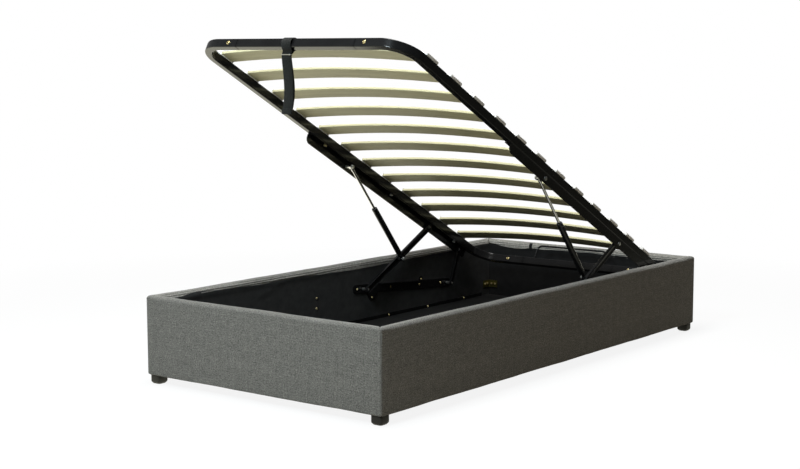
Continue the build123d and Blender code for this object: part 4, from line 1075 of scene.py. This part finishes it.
class BuildMaterials(bpy.types.Operator):
    """Make the finishes and give the frame's own solids theirs."""
    bl_idname = "bed.materials"
    bl_label = "Finishes"

    def execute(self, context):
        fabric, metal, wood = context.scene.bed_fabric, context.scene.bed_metal, context.scene.bed_wood
        FINISHES.update(
            # Painted light: the covers' inner returns are half again lighter.
            fabric_cover=woven_fabric("upholstery_weave", fabric.colour, fabric.thread_pitch,
                                      painted_return_light=1.5),
            black_lining=bonded_cloth("lining_non_woven", fabric.lining_colour),
            # Painted shade: the head wall's lining is under a third as light as the rest, for the shadow of the
            # lid.
            head_lining_sheet=bonded_cloth("head_lining_painted_shade", shade(fabric.lining_colour, 0.30)),
            black_webbing=woven_fabric("strap_webbing", (0.0078, 0.0086, 0.0078), 0.0016, contrast=0.6,
                                       depth=0.0006, sheen=0.08),
            black_frame=powder_coat("black_powder_coat", metal.coat_colour, metal.coat_roughness),
            bright_zinc=plated_metal("zinc_plating", (0.62, 0.62, 0.60), 0.30),
            yellow_zinc=plated_metal("yellow_zinc_plating", (0.70, 0.58, 0.30), 0.32),
            # Painted shade: the corner brackets' yellow zinc is darkened far below the screws' own, for the shade
            # they sit in.
            corner_brackets=plated_metal("shaded_yellow_zinc_plating", (0.18, 0.165, 0.05), 0.42),
            strut_rod=plated_metal("polished_rod", (0.75, 0.75, 0.76), 0.14),
            slat_wood=birch_veneer("birch_veneer", wood.slat_colour),
            batten_wood=sawn_wood("batten_wood", (0.40, 0.29, 0.17), (0.27, 0.18, 0.10)),
            box_board=sawn_wood("particle_board", (0.33, 0.24, 0.15), (0.20, 0.13, 0.07),
                                (30.0, 30.0, 30.0), 0.8),
            black_panel=moulded_plastic("black_panel", (0.011, 0.011, 0.011), 0.90, 0.05),
            grey_plastic=moulded_plastic("grey_holder_plastic", wood.holder_colour, 0.45, 0.45),
            black_feet=moulded_plastic("black_foot_plastic", (0.018, 0.017, 0.015), 0.50, 0.30),
        )
        for part in frame["record"]["subparts"]:
            mesh = frame["nodes"][part["node"]].data
            mesh.materials.clear()
            mesh.materials.append(finish_of(part["node"], part["material_slot"]))
            mesh.shade_smooth()
            mesh.set_sharp_from_angle(angle=math.radians(30))
        return {"FINISHED"}


class BuildStage(bpy.types.Operator):
    """Set up the floor, the light and the camera."""
    bl_idname = "bed.stage"
    bl_label = "Stage"

    def execute(self, context):
        scene, stage = context.scene, context.scene.bed_stage
        studio_floor(stage)
        scene.world = studio_world(stage)
        area_light("key_light", (0.35, -3.4, 3.0), (0, -0.6, 0.4), (0.9, 0.9), stage.key_power,
                   (0.80, 0.935, 1.0))
        area_light("top_light", (0.0, -0.4, 3.2), (0.0, -0.4, 0.3), (1.0, 2.4), stage.top_power,
                   (1.0, 0.99, 0.96))
        scene.camera = photo_camera()
        scene.view_settings.view_transform = "Standard"
        return {"FINISHED"}


class BuildCovers(bpy.types.Operator):
    """Upholster the four panels."""
    bl_idname = "bed.covers"
    bl_label = "Padded covers"

    def execute(self, context):
        fabric = context.scene.bed_fabric
        for name in PANELS:
            piece = make_piece(f"{name}_upholstery", [cover_shell(name, fabric.wrinkle, fabric.seam)],
                               "storage_box", "fabric_cover", [f"{name}_cover"], sharp=50)
        return {"FINISHED"}


class BuildLining(bpy.types.Operator):
    """Line the storage space."""
    bl_idname = "bed.lining"
    bl_label = "Storage lining"

    def execute(self, context):
        for name, (_, _, half_length) in PANELS.items():
            tabs = [lining_tab(name)] if name == "head" else []
            piece = make_piece(f"{name}_lining_sheet", [lining_shell(name)] + tabs,
                               "storage_box", "black_lining", ["storage_lining"], sharp=60)
        return {"FINISHED"}


class BuildSlats(bpy.types.Operator):
    """Make the sprung slats."""
    bl_idname = "bed.slats"
    bl_label = "Slats"

    def execute(self, context):
        for k, s in enumerate(SLAT_PLACES, start=1):
            make_piece(f"bowed_slat_{k:02d}", [slat_shell(s, k)], "lid_frame", "slat_wood",
                       [f"slat_{k:02d}"])
        return {"FINISHED"}


class BuildHolders(bpy.types.Operator):
    """Make the slat holders."""
    bl_idname = "bed.holders"
    bl_label = "Slat holders"

    def execute(self, context):
        holders = [holder_shell(s, sign) for s in SLAT_PLACES for sign in (-1, 1)]
        make_piece("moulded_slat_holders", holders, "lid_frame", "grey_plastic", ["slat_holders"], sharp=40)
        return {"FINISHED"}


class BuildLinkage(bpy.types.Operator):
    """Make the arms, gas struts and their pivots."""
    bl_idname = "bed.linkage"
    bl_label = "Lift linkage"

    def execute(self, context):
        studs = []
        arms = (("front", FRONT_PIVOT, ARM_TOP, 0.024), ("rear", REAR_PIVOT, REAR_TOP, 0.020))
        for side, sign in SIDES:
            for row, pivot, top, height in arms:
                make_piece(f"pressed_{row}_arm_{side}", [arm_shell(pivot, top, height, sign)],
                           f"{row}_arm_{side}_body", "black_frame", [f"{row}_arm_{side}"])
                studs += [sleeve(pivot, sign, INSIDE_X - RAIL_SHEET, ARM_FACE + SEAT_GAP),
                          pin(pivot, sign, ARM_FACE + SEAT_GAP, PIN_TIP),
                          *nut(pivot, sign, ARM_WEB - SEAT_GAP, 0.0062)]
            front_bolts = [bolt_head(at_x(ARM_TOP, sign * (LID_SIDE + SEAT_GAP)), sign * ACROSS),
                           pin(ARM_TOP, sign, LID_SIDE + SEAT_GAP, PIN_TIP), *nut(ARM_TOP, sign, ARM_WEB),
                           *strut_bolt(STRUT_BOTTOM, sign, ARM_WEB)]
            make_piece(f"front_arm_pivot_bolts_{side}", front_bolts, f"front_arm_{side}_body",
                       "bright_zinc", [f"front_arm_bolts_{side}"])
            rear_bolt = [pin(REAR_TOP, sign, LID_ANGLE_BOLT, PIN_TIP), *nut(REAR_TOP, sign, ARM_WEB)]
            make_piece(f"rear_arm_pivot_bolt_{side}", rear_bolt, f"rear_arm_{side}_body",
                       "bright_zinc", [f"rear_arm_bolt_{side}"])
            make_piece(f"gas_strut_cylinder_{side}", strut_piece(sign, CYLINDER_OUTLINE, 48, STRUT_BOTTOM),
                       f"strut_cylinder_{side}_body", "black_frame", [f"strut_cylinder_{side}"], sharp=50)
            make_piece(f"gas_strut_rod_{side}", strut_piece(sign, ROD_OUTLINE, 32, STRUT_TOP),
                       f"strut_rod_{side}_body", "strut_rod", [f"strut_rod_{side}"])
            make_piece(f"strut_top_bolt_{side}", strut_bolt(STRUT_TOP, sign, LID_ANGLE_BOLT),
                       f"strut_rod_{side}_body", "bright_zinc", [f"strut_rod_bolt_{side}"])
        make_piece("rail_pivot_studs", studs, "storage_box", "bright_zinc", ["hinge_rail_studs"])
        return {"FINISHED"}


class BuildFasteners(bpy.types.Operator):
    """Make the screws of the box and the lid."""
    bl_idname = "bed.fasteners"
    bl_label = "Fasteners"

    def execute(self, context):
        head_radius, head_height, tube_head_radius, tube_head_height = 0.0046, 0.0024, 0.0065, 0.003
        heads = [screw_head(point + face * seat, face, head_radius, head_height, k)
                 for k, (point, face, seat) in enumerate(box_screw_places())]
        make_piece("pan_head_screws", heads, "storage_box", "yellow_zinc", ["assembly_screws"], sharp=30)
        bolts, screws = [], []
        for sign in (-1, 1):
            for s, group in ((0.226, bolts), (0.700, bolts), (1.146, screws)):
                middle = in_lid(sign * (LID_SIDE - TUBE_WIDTH / 2), s, -LID_ANGLE_SHEET)
                group.append(bolt_head(middle, -LID_UP))
            for s in (LID_LENGTH, TUBE_WIDTH):
                middle = in_lid(sign * (LID_SIDE - TUBE_JOINT), s, TUBE_HEIGHT / 2)
                screws.append(screw_head(middle, FOOTWARD, tube_head_radius, tube_head_height, 90))
            for pivot in (REAR_TOP, STRUT_TOP):
                bolts.append(bolt_head(at_x(pivot, sign * LID_SIDE), sign * ACROSS))
        make_piece("lid_bolts", bolts, "lid_frame", "bright_zinc", ["lid_fasteners"], sharp=30)
        make_piece("lid_tube_screws", screws, "lid_frame", "yellow_zinc", ["lid_fasteners"], sharp=30)
        return {"FINISHED"}


class BuildStrap(bpy.types.Operator):
    """Make the pull strap and its keeper."""
    bl_idname = "bed.strap"
    bl_label = "Pull strap"

    def execute(self, context):
        make_piece("webbing_strap", strap_parts(), "strap_body", "black_webbing", ["pull_strap"], sharp=50)
        make_piece("wire_strap_keeper", keeper_parts(), "strap_body", "bright_zinc", ["strap_keeper"])
        return {"FINISHED"}


class BuildFeet(bpy.types.Operator):
    """Make the four feet."""
    bl_idname = "bed.feet"
    bl_label = "Feet"

    def execute(self, context):
        x, y = HALF_WIDTH - FOOT_FROM_EDGE, HALF_LENGTH - FOOT_FROM_EDGE
        for end, along in (("foot", -1), ("head", 1)):
            for side, sign in SIDES:
                make_piece(f"moulded_foot_{end}_{side}", [foot_shell(sign * x, along * y)],
                           "storage_box", "black_feet", [f"corner_foot_{end}_{side}"])
        return {"FINISHED"}


STEPS = (BuildMaterials, BuildStage, BuildCovers, BuildLining, BuildSlats, BuildHolders, BuildLinkage,
         BuildFasteners, BuildStrap, BuildFeet)


class BedPanel(bpy.types.Panel):
    """Lists the bed's settings and steps."""
    bl_idname = "VIEW3D_PT_ottoman_bed"
    bl_label = "Ottoman bed"
    bl_space_type = "VIEW_3D"
    bl_region_type = "UI"
    bl_category = "Ottoman bed"

    def draw(self, context):
        for attribute in SETTINGS:
            group = getattr(context.scene, attribute)
            column = self.layout.column(align=True)
            for name in group.bl_rna.properties.keys():
                if name not in ("rna_type", "name"):
                    column.prop(group, name)
        for step in STEPS:
            self.layout.operator(step.bl_idname)


SETTINGS = {"bed_fabric": FabricSettings, "bed_metal": MetalSettings, "bed_wood": WoodSettings,
            "bed_stage": StageSettings}
CLASSES = (*SETTINGS.values(), *STEPS, BedPanel)


def register():
    for cls in CLASSES:
        bpy.utils.register_class(cls)
    for name, group in SETTINGS.items():
        setattr(bpy.types.Scene, name, bpy.props.PointerProperty(type=group))


def unregister():
    for name in SETTINGS:
        delattr(bpy.types.Scene, name)
    for cls in reversed(CLASSES):
        bpy.utils.unregister_class(cls)


def main():
    register()
    for step in STEPS:
        group, name = step.bl_idname.split(".")
        getattr(getattr(bpy.ops, group), name)()


if __name__ == "__main__":
    main()
